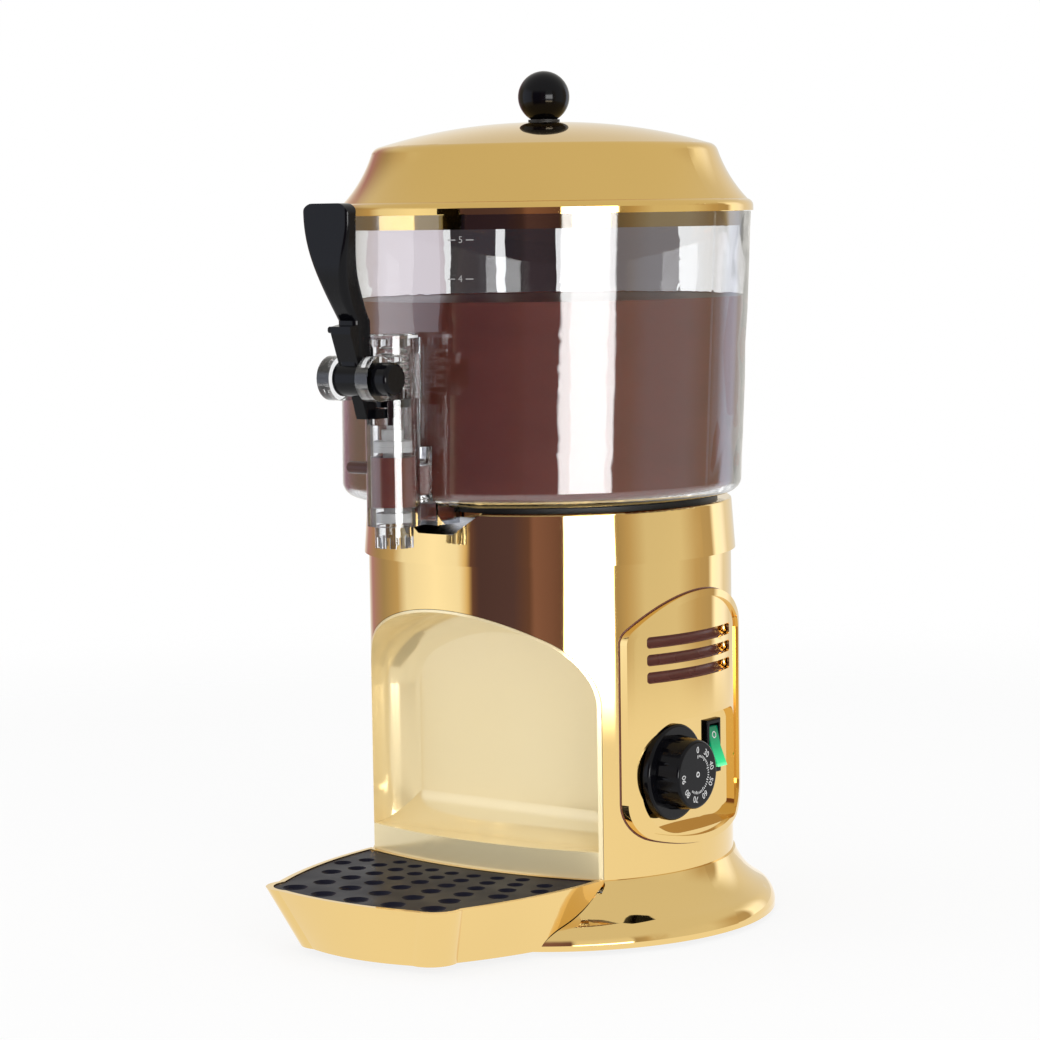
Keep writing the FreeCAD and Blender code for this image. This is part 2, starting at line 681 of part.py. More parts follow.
def heat_plate():
    """The steel dish that closes the bowl's floor, with the tube that the drive shaft comes up through."""
    floor_z = BOWL_LOW_Z + BOWL_WALL
    flange_z = floor_z + SEAL_T
    dish_r = PLATE_HOLE_R - SHEET
    low_z = BOWL_LOW_Z - SHEET
    bore = PLATE_TUBE_R - TANK_WALL
    return spun(
        (bore, low_z), (dish_r, low_z), (dish_r, flange_z), (PLATE_FLANGE_R, flange_z),
        (PLATE_FLANGE_R, flange_z + SHEET), (dish_r - SHEET, flange_z + SHEET), (dish_r - SHEET, low_z + SHEET),
        (PLATE_TUBE_R, low_z + SHEET), (PLATE_TUBE_R, PLATE_TUBE_TOP_Z), (bore, PLATE_TUBE_TOP_Z))


def plate_seal():
    floor_z = BOWL_LOW_Z + BOWL_WALL
    low_r = PLATE_HOLE_R
    high_r = PLATE_FLANGE_R - GAP
    return spun((low_r, floor_z), (high_r, floor_z), (high_r, floor_z + SEAL_T), (low_r, floor_z + SEAL_T))


def stirrer():
    bore = PLATE_TUBE_R + 2 * GAP
    roof_low = HEX_LOW_Z + GAP
    roof_top = HEX_LOW_Z + HEX_L + 3 * GAP + SHEET
    dome = 4.0
    hub = spun(
        (bore, STIRRER_LOW_Z), (STIRRER_HUB_R, STIRRER_LOW_Z), (STIRRER_HUB_R, roof_top - dome),
        ((STIRRER_HUB_R - dome * 0.29, roof_top - dome * 0.29), (STIRRER_HUB_R - dome, roof_top)), (0, roof_top),
        (0, roof_low), (bore, roof_low))
    hub = hub.cut(hexagon(HEX_ACROSS + 2 * GAP, roof_low - 1).extrude(Vector(0, 0, HEX_L + 1.0)))
    arms = []
    for side in (-1, 1):
        low = (min(side * (bore + 1), side * STIRRER_R), -STIRRER_ARM_W / 2, STIRRER_LOW_Z)
        high = (max(side * (bore + 1), side * STIRRER_R), STIRRER_ARM_W / 2, STIRRER_LOW_Z + STIRRER_ARM_H)
        arms.append(block(low, high))
        ring = upright(STIRRER_R, STIRRER_LOW_Z, STIRRER_LOW_Z + STIRRER_BLADE_H)
        ring = ring.cut(upright(STIRRER_R - STIRRER_BLADE_T, 0, BOWL_TOP_Z))
        half = STIRRER_R * math.sin(math.radians(STIRRER_BLADE_ANGLE / 2))
        low = (min(0, side * BOWL_TOP_R), -half, 0)
        high = (max(0, side * BOWL_TOP_R), half, BOWL_TOP_Z)
        arms.append(ring.common(block(low, high)))
    whole = hub.fuse(arms).common(upright(STIRRER_R, 0, BOWL_TOP_Z))
    return whole.removeSplitter()


# Tap

def in_tap(radius, low_z, top_z):
    return upright(radius, low_z, top_z, 0, TAP_Y)


FORK_SLOT_X = FORK_HALF + 0.8
SLOT_LOW_Z = HEAD_LOW_Z - FORK_HEAD_GAP - 2 * FORK_TIP_R - 4.0
SLOT_TOP_Z = PIVOT_Z + 1.0


def tap_body():
    """The clear column with its duct, its web to the bowl and the two ears that hold the lever's pin."""
    inside = -BOWL_TOP_R + 2 * BOWL_WALL
    solids = [
        block((-DUCT_HALF, TAP_Y, DUCT_LOW_Z), (DUCT_HALF, inside, DUCT_TOP_Z)),
        block((-WEB_HALF, TAP_Y, DUCT_TOP_Z - 1), (WEB_HALF, inside, TAP_TOP_Z))]
    for side in (-1, 1):
        near = Vector(side * EAR_IN_X, PIVOT_Y, PIVOT_Z)
        far = Vector(side * EAR_OUT_X, PIVOT_Y, PIVOT_Z)
        solids.append(rod(EAR_R, near, far))
        arm = sorted((side * EAR_IN_X, side * EAR_ARM_X))
        solids.append(block((arm[0], PIVOT_Y, PIVOT_Z - EAR_R), (arm[1], TAP_Y + TAP_R / 2, PIVOT_Z + EAR_R)))
    whole = in_tap(TAP_R, TAP_LOW_Z, TAP_TOP_Z).fuse(solids)
    whole = whole.cut(bowl_form(0, BOWL_LOW_Z, BOWL_EDGE_R))
    whole = whole.cut(sump_block(0, BOWL_LOW_Z + BOWL_EDGE_R))
    whole = whole.cut(in_tap(SEAT_R, TAP_LOW_Z - 1, TAP_LOW_Z + SEAT_H + 1))
    whole = whole.cut(in_tap(CHAMBER_R, TAP_LOW_Z + SEAT_H, CHAMBER_TOP_Z))
    whole = whole.cut(in_tap(GUIDE_R, CHAMBER_TOP_Z - 1, TAP_TOP_Z + 1))
    whole = whole.cut(duct_passage())
    slot = block((-FORK_SLOT_X, TAP_Y - 2 * TAP_R, SLOT_LOW_Z), (FORK_SLOT_X, TAP_Y, SLOT_TOP_Z))
    whole = whole.cut(slot)
    pin_reach = Vector(EAR_OUT_X + 1, PIVOT_Y, PIVOT_Z)
    whole = whole.cut(rod(PIN_R, Vector(-pin_reach.x, PIVOT_Y, PIVOT_Z), pin_reach))
    socket_end = Vector(-CHAMBER_R - SHEET / 2, TAP_Y, LOCK_PIN_Z)
    socket = rod(LOCK_PIN_R, Vector(-2 * TAP_R, TAP_Y, LOCK_PIN_Z), socket_end)
    return whole.cut(socket).removeSplitter()


def tap_cap():
    plug_z = TAP_TOP_Z - CAP_PLUG_H
    cap = in_tap(TAP_R, TAP_TOP_Z, TAP_TOP_Z + CAP_T)
    cap = cap.makeChamfer(1.0, [e for e in cap.Edges if e.BoundBox.ZMin > TAP_TOP_Z + CAP_T - 0.01])
    plug = in_tap(GUIDE_R - RUNNING, plug_z, TAP_TOP_Z + 0.1)
    well = in_tap(HEAD_BOSS_R, plug_z - 1, TAP_TOP_Z)
    return cap.fuse(plug).cut(well).removeSplitter()


def tap_nozzle():
    ring = in_tap(NOZZLE_R, NOZZLE_LOW_Z, TAP_LOW_Z).cut(in_tap(NOZZLE_BORE_R, 0, TAP_TOP_Z))
    for tooth in range(NOZZLE_TEETH):
        notch = block((0, -NOZZLE_TOOTH_GAP / 2, NOZZLE_LOW_Z - 1),
                      (2 * NOZZLE_R, NOZZLE_TOOTH_GAP / 2, NOZZLE_LOW_Z + NOZZLE_TOOTH_H))
        notch.rotate(Vector(0, 0, 0), Vector(0, 0, 1), 360.0 * tooth / NOZZLE_TEETH)
        notch.translate(Vector(0, TAP_Y, 0))
        ring = ring.cut(notch)
    return ring


def tap_lock_pin():
    end = Vector(LOCK_PIN_END_X, TAP_Y, LOCK_PIN_Z)
    pin = rod(LOCK_PIN_R, end, Vector(-CHAMBER_R - SHEET / 2, TAP_Y, LOCK_PIN_Z))
    return pin.makeFillet(1.2, [e for e in pin.Edges if e.BoundBox.XMax < LOCK_PIN_END_X + 0.01])


def land_groove(radius):
    middle = LAND_LOW_Z + LAND_H / 2
    return Part.makeTorus(radius, SEAL_WIRE_R, Vector(0, TAP_Y, middle))


def tap_piston():
    """Valve plug, stem through the chamber, grooved land in the guide, and a neck for the fork."""
    pieces = [
        in_tap(STEM_R, PLUG_LOW_Z, LAND_LOW_Z + 1), in_tap(GUIDE_R - RUNNING, LAND_LOW_Z, LAND_LOW_Z + LAND_H),
        in_tap(UPPER_STEM_R, LAND_LOW_Z, UPPER_STEM_TOP_Z), in_tap(NECK_R, UPPER_STEM_TOP_Z - 1, HEAD_LOW_Z)]
    plug = in_tap(SEAT_R - RUNNING, PLUG_LOW_Z, PLUG_LOW_Z + PLUG_H)
    whole = plug.fuse(pieces)
    return whole.cut(land_groove(GUIDE_R - RUNNING - SEAL_WIRE_R)).removeSplitter()


def piston_seal():
    ring = land_groove(GUIDE_R - RUNNING - SEAL_WIRE_R)
    return ring


def piston_head():
    head = in_tap(HEAD_R, HEAD_LOW_Z, HEAD_LOW_Z + HEAD_H)
    return head.fuse(in_tap(HEAD_BOSS_R, HEAD_LOW_Z, HEAD_LOW_Z + HEAD_H + HEAD_BOSS_H)).removeSplitter()


def biarc(start, start_way, end, end_way):
    """Two arcs from start to end that leave and arrive along the given unit directions."""
    chord = end - start
    both = start_way + end_way
    bend = 2 * (1 - start_way.dot(end_way))
    along = chord.dot(both)
    reach = (-along + math.sqrt(along ** 2 + bend * chord.dot(chord))) / bend
    joint = (start + end + (start_way - end_way) * reach) * 0.5
    arcs = []
    for a, corner, b in ((start, start + start_way * reach, joint), (joint, end - end_way * reach, end)):
        half_chord = (b - a).Length / 2
        cosine = half_chord / reach
        middle = (a + b) * 0.5
        crest = middle + (corner - middle) * (cosine / (1 + cosine))
        arcs.append(Part.Arc(a, crest, b).toShape())
    return arcs


def helix_point(radius, pitch, low_z, angle):
    z = low_z + pitch * angle / (2 * math.pi)
    return Vector(radius * math.cos(angle), TAP_Y + radius * math.sin(angle), z)


def helix_way(radius, pitch, angle):
    way = Vector(-radius * math.sin(angle), radius * math.cos(angle), pitch / (2 * math.pi))
    return way.normalize()


def tap_spring():
    low_z = HEAD_LOW_Z + HEAD_H + SPRING_WIRE_R + 0.1
    top_z = TAP_TOP_Z - CAP_PLUG_H - SPRING_WIRE_R - 0.1
    pitch = (top_z - low_z) / SPRING_TURNS
    print("spring: least gap between turns %.2f mm" % (pitch - 2 * SPRING_WIRE_R))
    edges = []
    step = math.pi / 2
    for quarter in range(round(4 * SPRING_TURNS)):
        a = quarter * step
        b = a + step
        edges += biarc(
            helix_point(SPRING_R, pitch, low_z, a), helix_way(SPRING_R, pitch, a),
            helix_point(SPRING_R, pitch, low_z, b), helix_way(SPRING_R, pitch, b))
    start = helix_point(SPRING_R, pitch, low_z, 0)
    section = Part.makeCircle(SPRING_WIRE_R, start, helix_way(SPRING_R, pitch, 0))
    pipe = Part.BRepOffsetAPI.MakePipeShell(Part.Wire(edges))
    pipe.add(Part.Wire(section))
    pipe.build()
    pipe.makeSolid()
    return pipe.shape()


def lever_pin():
    pin = rod(PIN_R, Vector(-EAR_OUT_X, PIVOT_Y, PIVOT_Z), Vector(EAR_OUT_X + 1, PIVOT_Y, PIVOT_Z))
    head = rod(PIN_HEAD_R, Vector(EAR_OUT_X, PIVOT_Y, PIVOT_Z), Vector(PIN_HEAD_X, PIVOT_Y, PIVOT_Z))
    head = head.makeFillet(2.2, [e for e in head.Edges if e.BoundBox.XMin > PIN_HEAD_X - 0.01])
    return pin.fuse(head).removeSplitter()


def section_wire(z, y, width, depth):
    """A rectangle with rounded corners in a level plane, for the lever's loft."""
    r = 0.25 * min(width, depth)
    x = width / 2
    d = depth / 2
    k = r * (1 - math.sqrt(0.5))
    points = [
        (x, y - d + r), (x, y + d - r), (x - k, y + d - k), (x - r, y + d), (r - x, y + d), (k - x, y + d - k),
        (-x, y + d - r), (-x, y - d + r), (k - x, y - d + k), (r - x, y - d), (x - r, y - d), (x - k, y - d + k)]
    v = [Vector(px, py, z) for px, py in points]
    edges = []
    for corner in range(4):
        a, b, c, e = v[3 * corner], v[3 * corner + 1], v[3 * corner + 2], v[(3 * corner + 3) % 12]
        edges.append(Part.LineSegment(a, b).toShape())
        edges.append(Part.Arc(b, c, e).toShape())
    return Part.Wire(edges)


def tap_lever():
    """A broad paddle that narrows into a stem, a hub on the pin, and a fork under the piston's head."""
    top = PIVOT_Z + PADDLE_L
    sections = []
    for height, lean, breadth, thickness in PADDLE_SHAPE:
        place = (PIVOT_Z + height * PADDLE_L, PIVOT_Y - lean * PADDLE_LEAN)
        sections.append(section_wire(*place, breadth * PADDLE_W, thickness * PADDLE_T))
    handle = Part.makeLoft(sections, True, False)
    stem = Part.makeLoft([section_wire(PIVOT_Z, PIVOT_Y, STEM_W, STEM_T), sections[0]], True, True)
    handle = handle.fuse(stem)
    half = PADDLE_W / 2
    corner = PADDLE_CORNER_R
    k = corner * (1 - math.sqrt(0.5))
    front = path_face(
        (half, 0),
        [(half, top - corner), ((half - k, top - k), (half - corner, top)), (corner - half, top),
         ((k - half, top - k), (-half, top - corner)), (-half, 0)],
        lambda x, z: Vector(x, PIVOT_Y + 60, z))
    handle = handle.common(front.extrude(Vector(0, -120, 0)))
    hub_half = EAR_IN_X - GAP
    hub = rod(HUB_R, Vector(-hub_half, PIVOT_Y, PIVOT_Z), Vector(hub_half, PIVOT_Y, PIVOT_Z))
    shoulder_z = PIVOT_Z + SHOULDER_RISE
    shoulder = path_face(
        (PIVOT_Y - 12, shoulder_z - 4),
        [(PIVOT_Y - 12, shoulder_z), (PIVOT_Y - 5, shoulder_z + 1), (PIVOT_Y + 6.5, shoulder_z - 12),
         (PIVOT_Y + 6.5, PIVOT_Z + 5), (PIVOT_Y - 5, PIVOT_Z + 5)],
        lambda y, z: Vector(-TAIL_HALF - 3.2, y, z))
    shoulder = shoulder.extrude(Vector(2 * (TAIL_HALF + 3.2), 0, 0))
    nub = rod(1.8, Vector(-9.2, PIVOT_Y - 10, shoulder_z - 1.8), Vector(0, PIVOT_Y - 10, shoulder_z - 1.8))
    tip_z = HEAD_LOW_Z - FORK_HEAD_GAP - FORK_TIP_R
    tail = path_face(
        (PIVOT_Y - 3, PIVOT_Z),
        [(PIVOT_Y + HUB_R - 1, PIVOT_Z), (PIVOT_Y + TAIL_BACK, tip_z + FORK_TIP_R + 1),
         (PIVOT_Y + TAIL_BACK, tip_z - FORK_TIP_R), (PIVOT_Y + TAIL_FRONT, tip_z - FORK_TIP_R)],
        lambda y, z: Vector(-TAIL_HALF, y, z))
    tail = tail.extrude(Vector(2 * TAIL_HALF, 0, 0))
    tip_y = PIVOT_Y + FORK_REACH
    bar = block(
        (-FORK_HALF, PIVOT_Y + TAIL_BACK - 4, tip_z - FORK_TIP_R), (FORK_HALF, tip_y, tip_z + FORK_TIP_R))
    ends = rod(FORK_TIP_R, Vector(-FORK_HALF, tip_y, tip_z), Vector(FORK_HALF, tip_y, tip_z))
    gap = block(
        (-FORK_SLOT_HALF, PIVOT_Y + TAIL_BACK + 1, tip_z - 2 * FORK_TIP_R),
        (FORK_SLOT_HALF, tip_y + 2 * FORK_TIP_R, tip_z + 2 * FORK_TIP_R))
    fork = bar.fuse(ends).cut(gap)
    whole = handle.fuse([hub, shoulder, nub, tail, fork])
    bore = rod(PIN_R + RUNNING, Vector(-2 * hub_half, PIVOT_Y, PIVOT_Z), Vector(2 * hub_half, PIVOT_Y, PIVOT_Z))
    return whole.cut(bore)


# Lid

def lid():
    flank_low = (LID_FLANK_LOW_R, LID_FLANK_LOW_Z)
    flank_top = (LID_FLANK_TOP_R, LID_FLANK_TOP_Z)
    shoulder = (LID_DOME_R, LID_DOME_EDGE_Z)
    rim_low_z = BOWL_TOP_Z + GAP
    crown = (LID_SCREW_R + GAP, LID_TOP_Z)
    rise = LID_TOP_Z - LID_DOME_EDGE_Z
    dome_sag = rise * 0.27
    skirt_r = BOWL_TOP_R - BOWL_WALL - 3 * GAP
    skirt_z = BOWL_TOP_Z - LID_SKIRT_H
    t = SHEET

    def under(point):
        return (point[0] - t, point[1] - t)

    low_mid = bowed(flank_low, flank_top, LID_FLANK_SAG)
    knee = bowed(flank_top, shoulder, -0.9)
    dome = bowed(shoulder, crown, -dome_sag)
    return spun(
        (LID_RIM_R, rim_low_z), (LID_RIM_R, LID_RIM_TOP_Z),
        (bowed((LID_RIM_R, LID_RIM_TOP_Z), flank_low, -0.7), flank_low), (low_mid, flank_top), (knee, shoulder),
        (dome, crown), (crown[0], crown[1] - t), (under(dome), under(shoulder)), (under(knee), under(flank_top)),
        (under(low_mid), under(flank_low)), (skirt_r - t, rim_low_z + 2 * t), (skirt_r - t, skirt_z),
        (skirt_r, skirt_z), (skirt_r, rim_low_z))


def lid_knob():
    ball = Part.makeSphere(BALL_R, Vector(0, 0, BALL_Z))
    ball = ball.cut(upright(2 * BALL_R, LID_TOP_Z - 2 * BALL_R, BALL_FLAT_Z))
    return ball.cut(upright(LID_SCREW_R, BALL_FLAT_Z - 1, BALL_Z))


def knob_washer():
    ring = upright(WASHER_R, LID_TOP_Z + 0.05, BALL_FLAT_Z)
    return ring.cut(upright(LID_SCREW_R + GAP, 0, BALL_Z))


def knob_screw():
    head_top = LID_TOP_Z - SHEET - 0.05
    head = upright(2 * LID_SCREW_R, head_top - LID_SCREW_R, head_top)
    return head.fuse(upright(LID_SCREW_R, head_top - 0.1, BALL_Z - GAP)).removeSplitter()


# Side panel, thermostat and switch

def panel_face(inset, x):
    """The panel's outline in the YZ plane: arched top, straight sides and a bowed bottom."""
    half = PANEL_HALF - inset
    side_top = PANEL_SIDE_TOP_Z - inset / 2
    side_low = PANEL_LOW_SIDE_Z + inset / 2
    steps = [
        (half, side_top), ((0, PANEL_TOP_Z - inset), (-half, side_top)), (-half, side_low),
        ((0, PANEL_LOW_Z + inset), (half, side_low))]
    here = steps[-1][1]
    points = [Vector(x, *here)]
    edges = []
    for step in steps:
        if isinstance(step[0], tuple):
            end = Vector(x, *step[1])
            edges.append(Part.Arc(points[-1], Vector(x, *step[0]), end).toShape())
        else:
            end = Vector(x, *step)
            edges.append(Part.LineSegment(points[-1], end).toShape())
        points.append(end)
    return Part.Face(Part.Wire(edges))


def panel_prism(inset):
    """The panel's outline with rounded corners, moved inward, from inside the body to well outside it."""
    prism = panel_face(inset, POCKET_X - 2 * PANEL_FACE_PROUD).extrude(Vector(6 * PANEL_FACE_PROUD, 0, 0))
    low = [e for e in prism.Edges if e.BoundBox.XLength > PANEL_FACE_PROUD and e.BoundBox.ZMax < POCKET_TOP_Z]
    prism = prism.makeFillet(PANEL_LOW_CORNER_R - inset, low)
    top = [e for e in prism.Edges if e.BoundBox.XLength > PANEL_FACE_PROUD and e.BoundBox.ZMin > POCKET_TOP_Z]
    return prism.makeFillet(PANEL_TOP_CORNER_R - inset / 2, top)


def panel_form(drop, over=0.0):
    """The upright cylinder whose +X side is the panel's gently curved face, moved back by drop."""
    return upright(PANEL_FACE_R - drop, -over, BODY_TOP_Z + over, PANEL_FACE_X - PANEL_FACE_R, 0)


def pocket_block(grow, low_x, high_x):
    """The pocket around knob and switch, with corners that follow the knob's skirt."""
    solid = block(
        (low_x, POCKET_LEFT_Y - grow, POCKET_LOW_Z - grow), (high_x, POCKET_RIGHT_Y + grow, POCKET_TOP_Z + grow))
    left = [e for e in solid.Edges if e.BoundBox.YMax < POCKET_LEFT_Y - grow + 0.01 and e.BoundBox.XLength > 1]
    right = [e for e in solid.Edges if e.BoundBox.YMin > POCKET_RIGHT_Y + grow - 0.01 and e.BoundBox.XLength > 1]
    solid = solid.makeFillet(POCKET_CORNER_R + grow, left)
    right = [e for e in solid.Edges if e.BoundBox.YMin > POCKET_RIGHT_Y + grow - 0.01 and e.BoundBox.XLength > 1]
    return solid.makeFillet(POCKET_CORNER_R / 3 + grow, right)


def louvre_slots():
    slots = []
    for row in range(LOUVRE_COUNT):
        z = LOUVRE_TOP_Z - row * LOUVRE_PITCH
        low = (POCKET_X - PANEL_FACE_PROUD, LOUVRE_LEFT_Y, z - LOUVRE_H / 2)
        high = (PANEL_FACE_X + PANEL_FACE_PROUD, LOUVRE_RIGHT_Y, z + LOUVRE_H / 2)
        slot = block(low, high)
        slots.append(slot.makeFillet(LOUVRE_H * 0.3, [e for e in slot.Edges if e.BoundBox.XLength > 1]))
    return slots


def side_panel():
    """A raised frame on the body's outside, a plate in the body's opening, and the controls' flat pocket."""
    inside = panel_prism(PANEL_RIDGE_W / 2 + GAP)
    field = panel_form(PANEL_FIELD_DROP)
    frame = panel_form(0).cut(upright(BODY_R + 0.05, -1, BODY_TOP_Z + 1)).common(panel_prism(0))
    plate = field.cut(panel_form(PANEL_FIELD_DROP + SHEET, 1)).common(inside)
    tub = pocket_block(SHEET, POCKET_X - SHEET, PANEL_FACE_X).common(field).common(inside)
    proud_x = PANEL_FACE_X + PANEL_FACE_PROUD
    hollow = panel_form(-PANEL_FACE_PROUD).cut(panel_form(PANEL_FIELD_DROP, 1))
    hollow = hollow.common(panel_prism(PANEL_RIDGE_W))
    panel = frame.fuse([plate, tub]).cut(hollow).cut(pocket_block(0, POCKET_X, proud_x))
    for slot in louvre_slots():
        panel = panel.cut(slot)
    spindle_hole = rod(BOSS_R + GAP, Vector(POCKET_X - 5, KNOB_Y, KNOB_Z), Vector(PANEL_FACE_X, KNOB_Y, KNOB_Z))
    return panel.cut(spindle_hole).cut(switch_block(SWITCH_HALF_W - 1.0, SWITCH_HALF_H - 1.0, -SWITCH_DEPTH, 10))


def switch_block(half_w, half_h, low, high):
    """A box on the switch's centre, from low to high along X from the pocket's floor."""
    return block(
        (POCKET_X + low, SWITCH_Y - half_w, SWITCH_Z - half_h),
        (POCKET_X + high, SWITCH_Y + half_w, SWITCH_Z + half_h))


ROCKER_X = POCKET_X + 0.5


def rocker_axle(radius, longer):
    half = ROCKER_HALF_W + ROCKER_PIN_L + longer
    return rod(radius, Vector(ROCKER_X, SWITCH_Y - half, SWITCH_Z), Vector(ROCKER_X, SWITCH_Y + half, SWITCH_Z))


def switch_frame():
    bezel = switch_block(SWITCH_HALF_W, SWITCH_HALF_H, 0, SWITCH_PROUD)
    bezel = bezel.makeFillet(1.0, [e for e in bezel.Edges if e.BoundBox.XMin > POCKET_X + SWITCH_PROUD - 0.01])
    can = switch_block(SWITCH_HALF_W - 1.2, SWITCH_HALF_H - 1.2, -SWITCH_DEPTH, 0.1)
    well = switch_block(ROCKER_HALF_W + GAP, ROCKER_HALF_H + ROCKER_END_GAP, -SWITCH_DEPTH / 2, SWITCH_PROUD + 1)
    return bezel.fuse(can).cut(well).cut(rocker_axle(ROCKER_PIN_R + RUNNING, GAP)).removeSplitter()


def switch_rocker():
    """A tilted wedge: its lower end stands out, as when it is switched on."""
    tip = ROCKER_HALF_H
    face = path_face(
        (POCKET_X + 1.2, tip),
        [(ROCKER_X + 3.0, 0), (POCKET_X + ROCKER_TIP, -tip), (POCKET_X + 1.0, -tip), (ROCKER_X - 5.5, -2.5),
         (ROCKER_X - 5.5, 2.5), (POCKET_X - 1.5, tip)],
        lambda x, z: Vector(x, SWITCH_Y - ROCKER_HALF_W, SWITCH_Z + z))
    return face.extrude(Vector(0, 2 * ROCKER_HALF_W, 0)).fuse(rocker_axle(ROCKER_PIN_R, 0)).removeSplitter()


def on_knob(radius, low_x, high_x):
    return rod(radius, Vector(low_x, KNOB_Y, KNOB_Z), Vector(high_x, KNOB_Y, KNOB_Z))


def thermostat_knob():
    """A skirted knob with a waisted grip: flat face, ribbed side and a hollow back."""
    skirt_top = KNOB_SKIRT_X + KNOB_SKIRT_T
    skirt = on_knob(KNOB_SKIRT_R, KNOB_SKIRT_X, skirt_top)
    skirt = skirt.makeFillet(1.6, [e for e in skirt.Edges if e.BoundBox.XMin > skirt_top - 0.01])
    grip = Part.makeCone(
        KNOB_FACE_R + 2.0, KNOB_FACE_R, KNOB_FACE_X - skirt_top + 0.1,
        Vector(skirt_top - 0.1, KNOB_Y, KNOB_Z), Vector(1, 0, 0))
    grip = grip.makeFillet(1.6, [e for e in grip.Edges if e.BoundBox.XMin > KNOB_FACE_X - 0.01])
    knob = skirt.fuse(grip)
    for groove in range(KNOB_GRIPS):
        angle = 2 * math.pi * groove / KNOB_GRIPS
        y = KNOB_Y + (KNOB_FACE_R + 2.4) * math.cos(angle)
        z = KNOB_Z + (KNOB_FACE_R + 2.4) * math.sin(angle)
        knob = knob.cut(rod(1.5, Vector(skirt_top, y, z), Vector(KNOB_FACE_X + 1, y, z)))
    knob = knob.cut(on_knob(KNOB_FACE_R - 3.0, KNOB_SKIRT_X - 1, KNOB_FACE_X - 2 * SHEET))
    boss = on_knob(BOSS_R, KNOB_SKIRT_X, KNOB_FACE_X - SHEET)
    return knob.fuse(boss).cut(on_knob(SPINDLE_R, KNOB_SKIRT_X - 1, KNOB_FACE_X - 2 * SHEET)).removeSplitter()


THERMOSTAT_FRONT_X = POCKET_X - SHEET


def thermostat_spindle():
    return on_knob(SPINDLE_R, THERMOSTAT_FRONT_X - THERMOSTAT_L / 2, KNOB_FACE_X - 2 * SHEET)


def thermostat_body():
    can = on_knob(THERMOSTAT_R, THERMOSTAT_FRONT_X - THERMOSTAT_L, THERMOSTAT_FRONT_X)
    can = can.makeChamfer(2.0, [e for e in can.Edges if e.BoundBox.XMax < THERMOSTAT_FRONT_X - THERMOSTAT_L + 0.01])
    collar = on_knob(BOSS_R, THERMOSTAT_FRONT_X - 0.1, KNOB_SKIRT_X - GAP)
    bore = on_knob(SPINDLE_R + RUNNING, THERMOSTAT_FRONT_X - THERMOSTAT_L / 2 - GAP, KNOB_SKIRT_X + 1)
    return can.fuse(collar).cut(bore).removeSplitter()


# Drip tray and grille

def tray_wire(z, inset, draft):
    """The tray's plan at a height: bowed nose, rounded front corners, straight sides and a hollow back."""
    back_half = TRAY_BACK_HALF - inset - TRAY_DRAFT_BACK * draft
    front_half = TRAY_FRONT_HALF - inset - TRAY_DRAFT_SIDE * draft
    front_y = TRAY_FRONT_Y + inset / 2 + TRAY_DRAFT_FRONT * draft
    nose_y = TRAY_NOSE_Y + inset + TRAY_DRAFT_FRONT * draft
    nose_half = front_half - TRAY_CORNER
    cheek_y = nose_y + TRAY_NOSE_BOW
    bulge = 0.3 * TRAY_CORNER
    middle_y = ledge_y(0, GAP + inset)
    points = {
        "back": Vector(back_half, ledge_y(back_half, GAP + inset), z),
        "side": Vector(front_half, front_y, z),
        "corner": Vector(front_half - bulge * 0.8, cheek_y + bulge * 0.75, z),
        "cheek": Vector(nose_half, cheek_y, z)}
    mirror = {name: Vector(-p.x, p.y, p.z) for name, p in points.items()}
    side_middle = (points["back"] + points["side"]) * 0.5 + Vector(TRAY_SIDE_BOW, 0, 0)
    edges = [
        Part.Arc(points["back"], side_middle, points["side"]).toShape(),
        Part.Arc(points["side"], points["corner"], points["cheek"]).toShape(),
        Part.Arc(points["cheek"], Vector(0, nose_y, z), mirror["cheek"]).toShape(),
        Part.Arc(mirror["cheek"], mirror["corner"], mirror["side"]).toShape(),
        Part.Arc(mirror["side"], Vector(-side_middle.x, side_middle.y, z), mirror["back"]).toShape(),
        Part.Arc(mirror["back"], Vector(0, middle_y, z), points["back"]).toShape()]
    return Part.Wire(edges)


def tray_form(inset, low_z, top_z):
    depth = TRAY_TOP_Z - TRAY_LOW_Z
    wires = [tray_wire(z, inset, (TRAY_TOP_Z - z) / depth) for z in (low_z, top_z)]
    return Part.makeLoft(wires, True, True)


GRILLE_LOW_Z = TRAY_TOP_Z - GRILLE_T - 2 * GAP


def drip_tray():
    """A basin whose rear wall follows the foot's flare, with a shallow lip over the shelf behind it."""
    outer = tray_form(0, TRAY_LOW_Z, TRAY_TOP_Z).cut(foot_envelope(TRAY_FOOT_GAP, SHELF_Z + GAP))
    basin = tray_form(GRILLE_RIM + GRILLE_SEAT, TRAY_LOW_Z + TRAY_WALL, TRAY_TOP_Z + 1)
    basin = basin.cut(foot_envelope(TRAY_FOOT_GAP + TRAY_WALL, SHELF_Z + GAP + TRAY_WALL))
    seat = Part.Face(tray_wire(GRILLE_LOW_Z, GRILLE_RIM, 0)).extrude(Vector(0, 0, TRAY_TOP_Z))
    return outer.cut(basin).cut(seat)


def grille_places():
    """Centres and radii of the dimples: a fan of arcs that close up and shrink towards the back."""
    columns = int(60 / GRILLE_FAN_STEP)
    for row in range(GRILLE_ROWS):
        reach = GRILLE_FAN_R * GRILLE_ROW_RATIO ** row
        for column in range(-columns, columns + 1):
            angle = math.radians(column * GRILLE_FAN_STEP)
            yield reach * math.sin(angle), GRILLE_FAN_Y - reach * math.cos(angle), reach * GRILLE_DIMPLE_RATIO


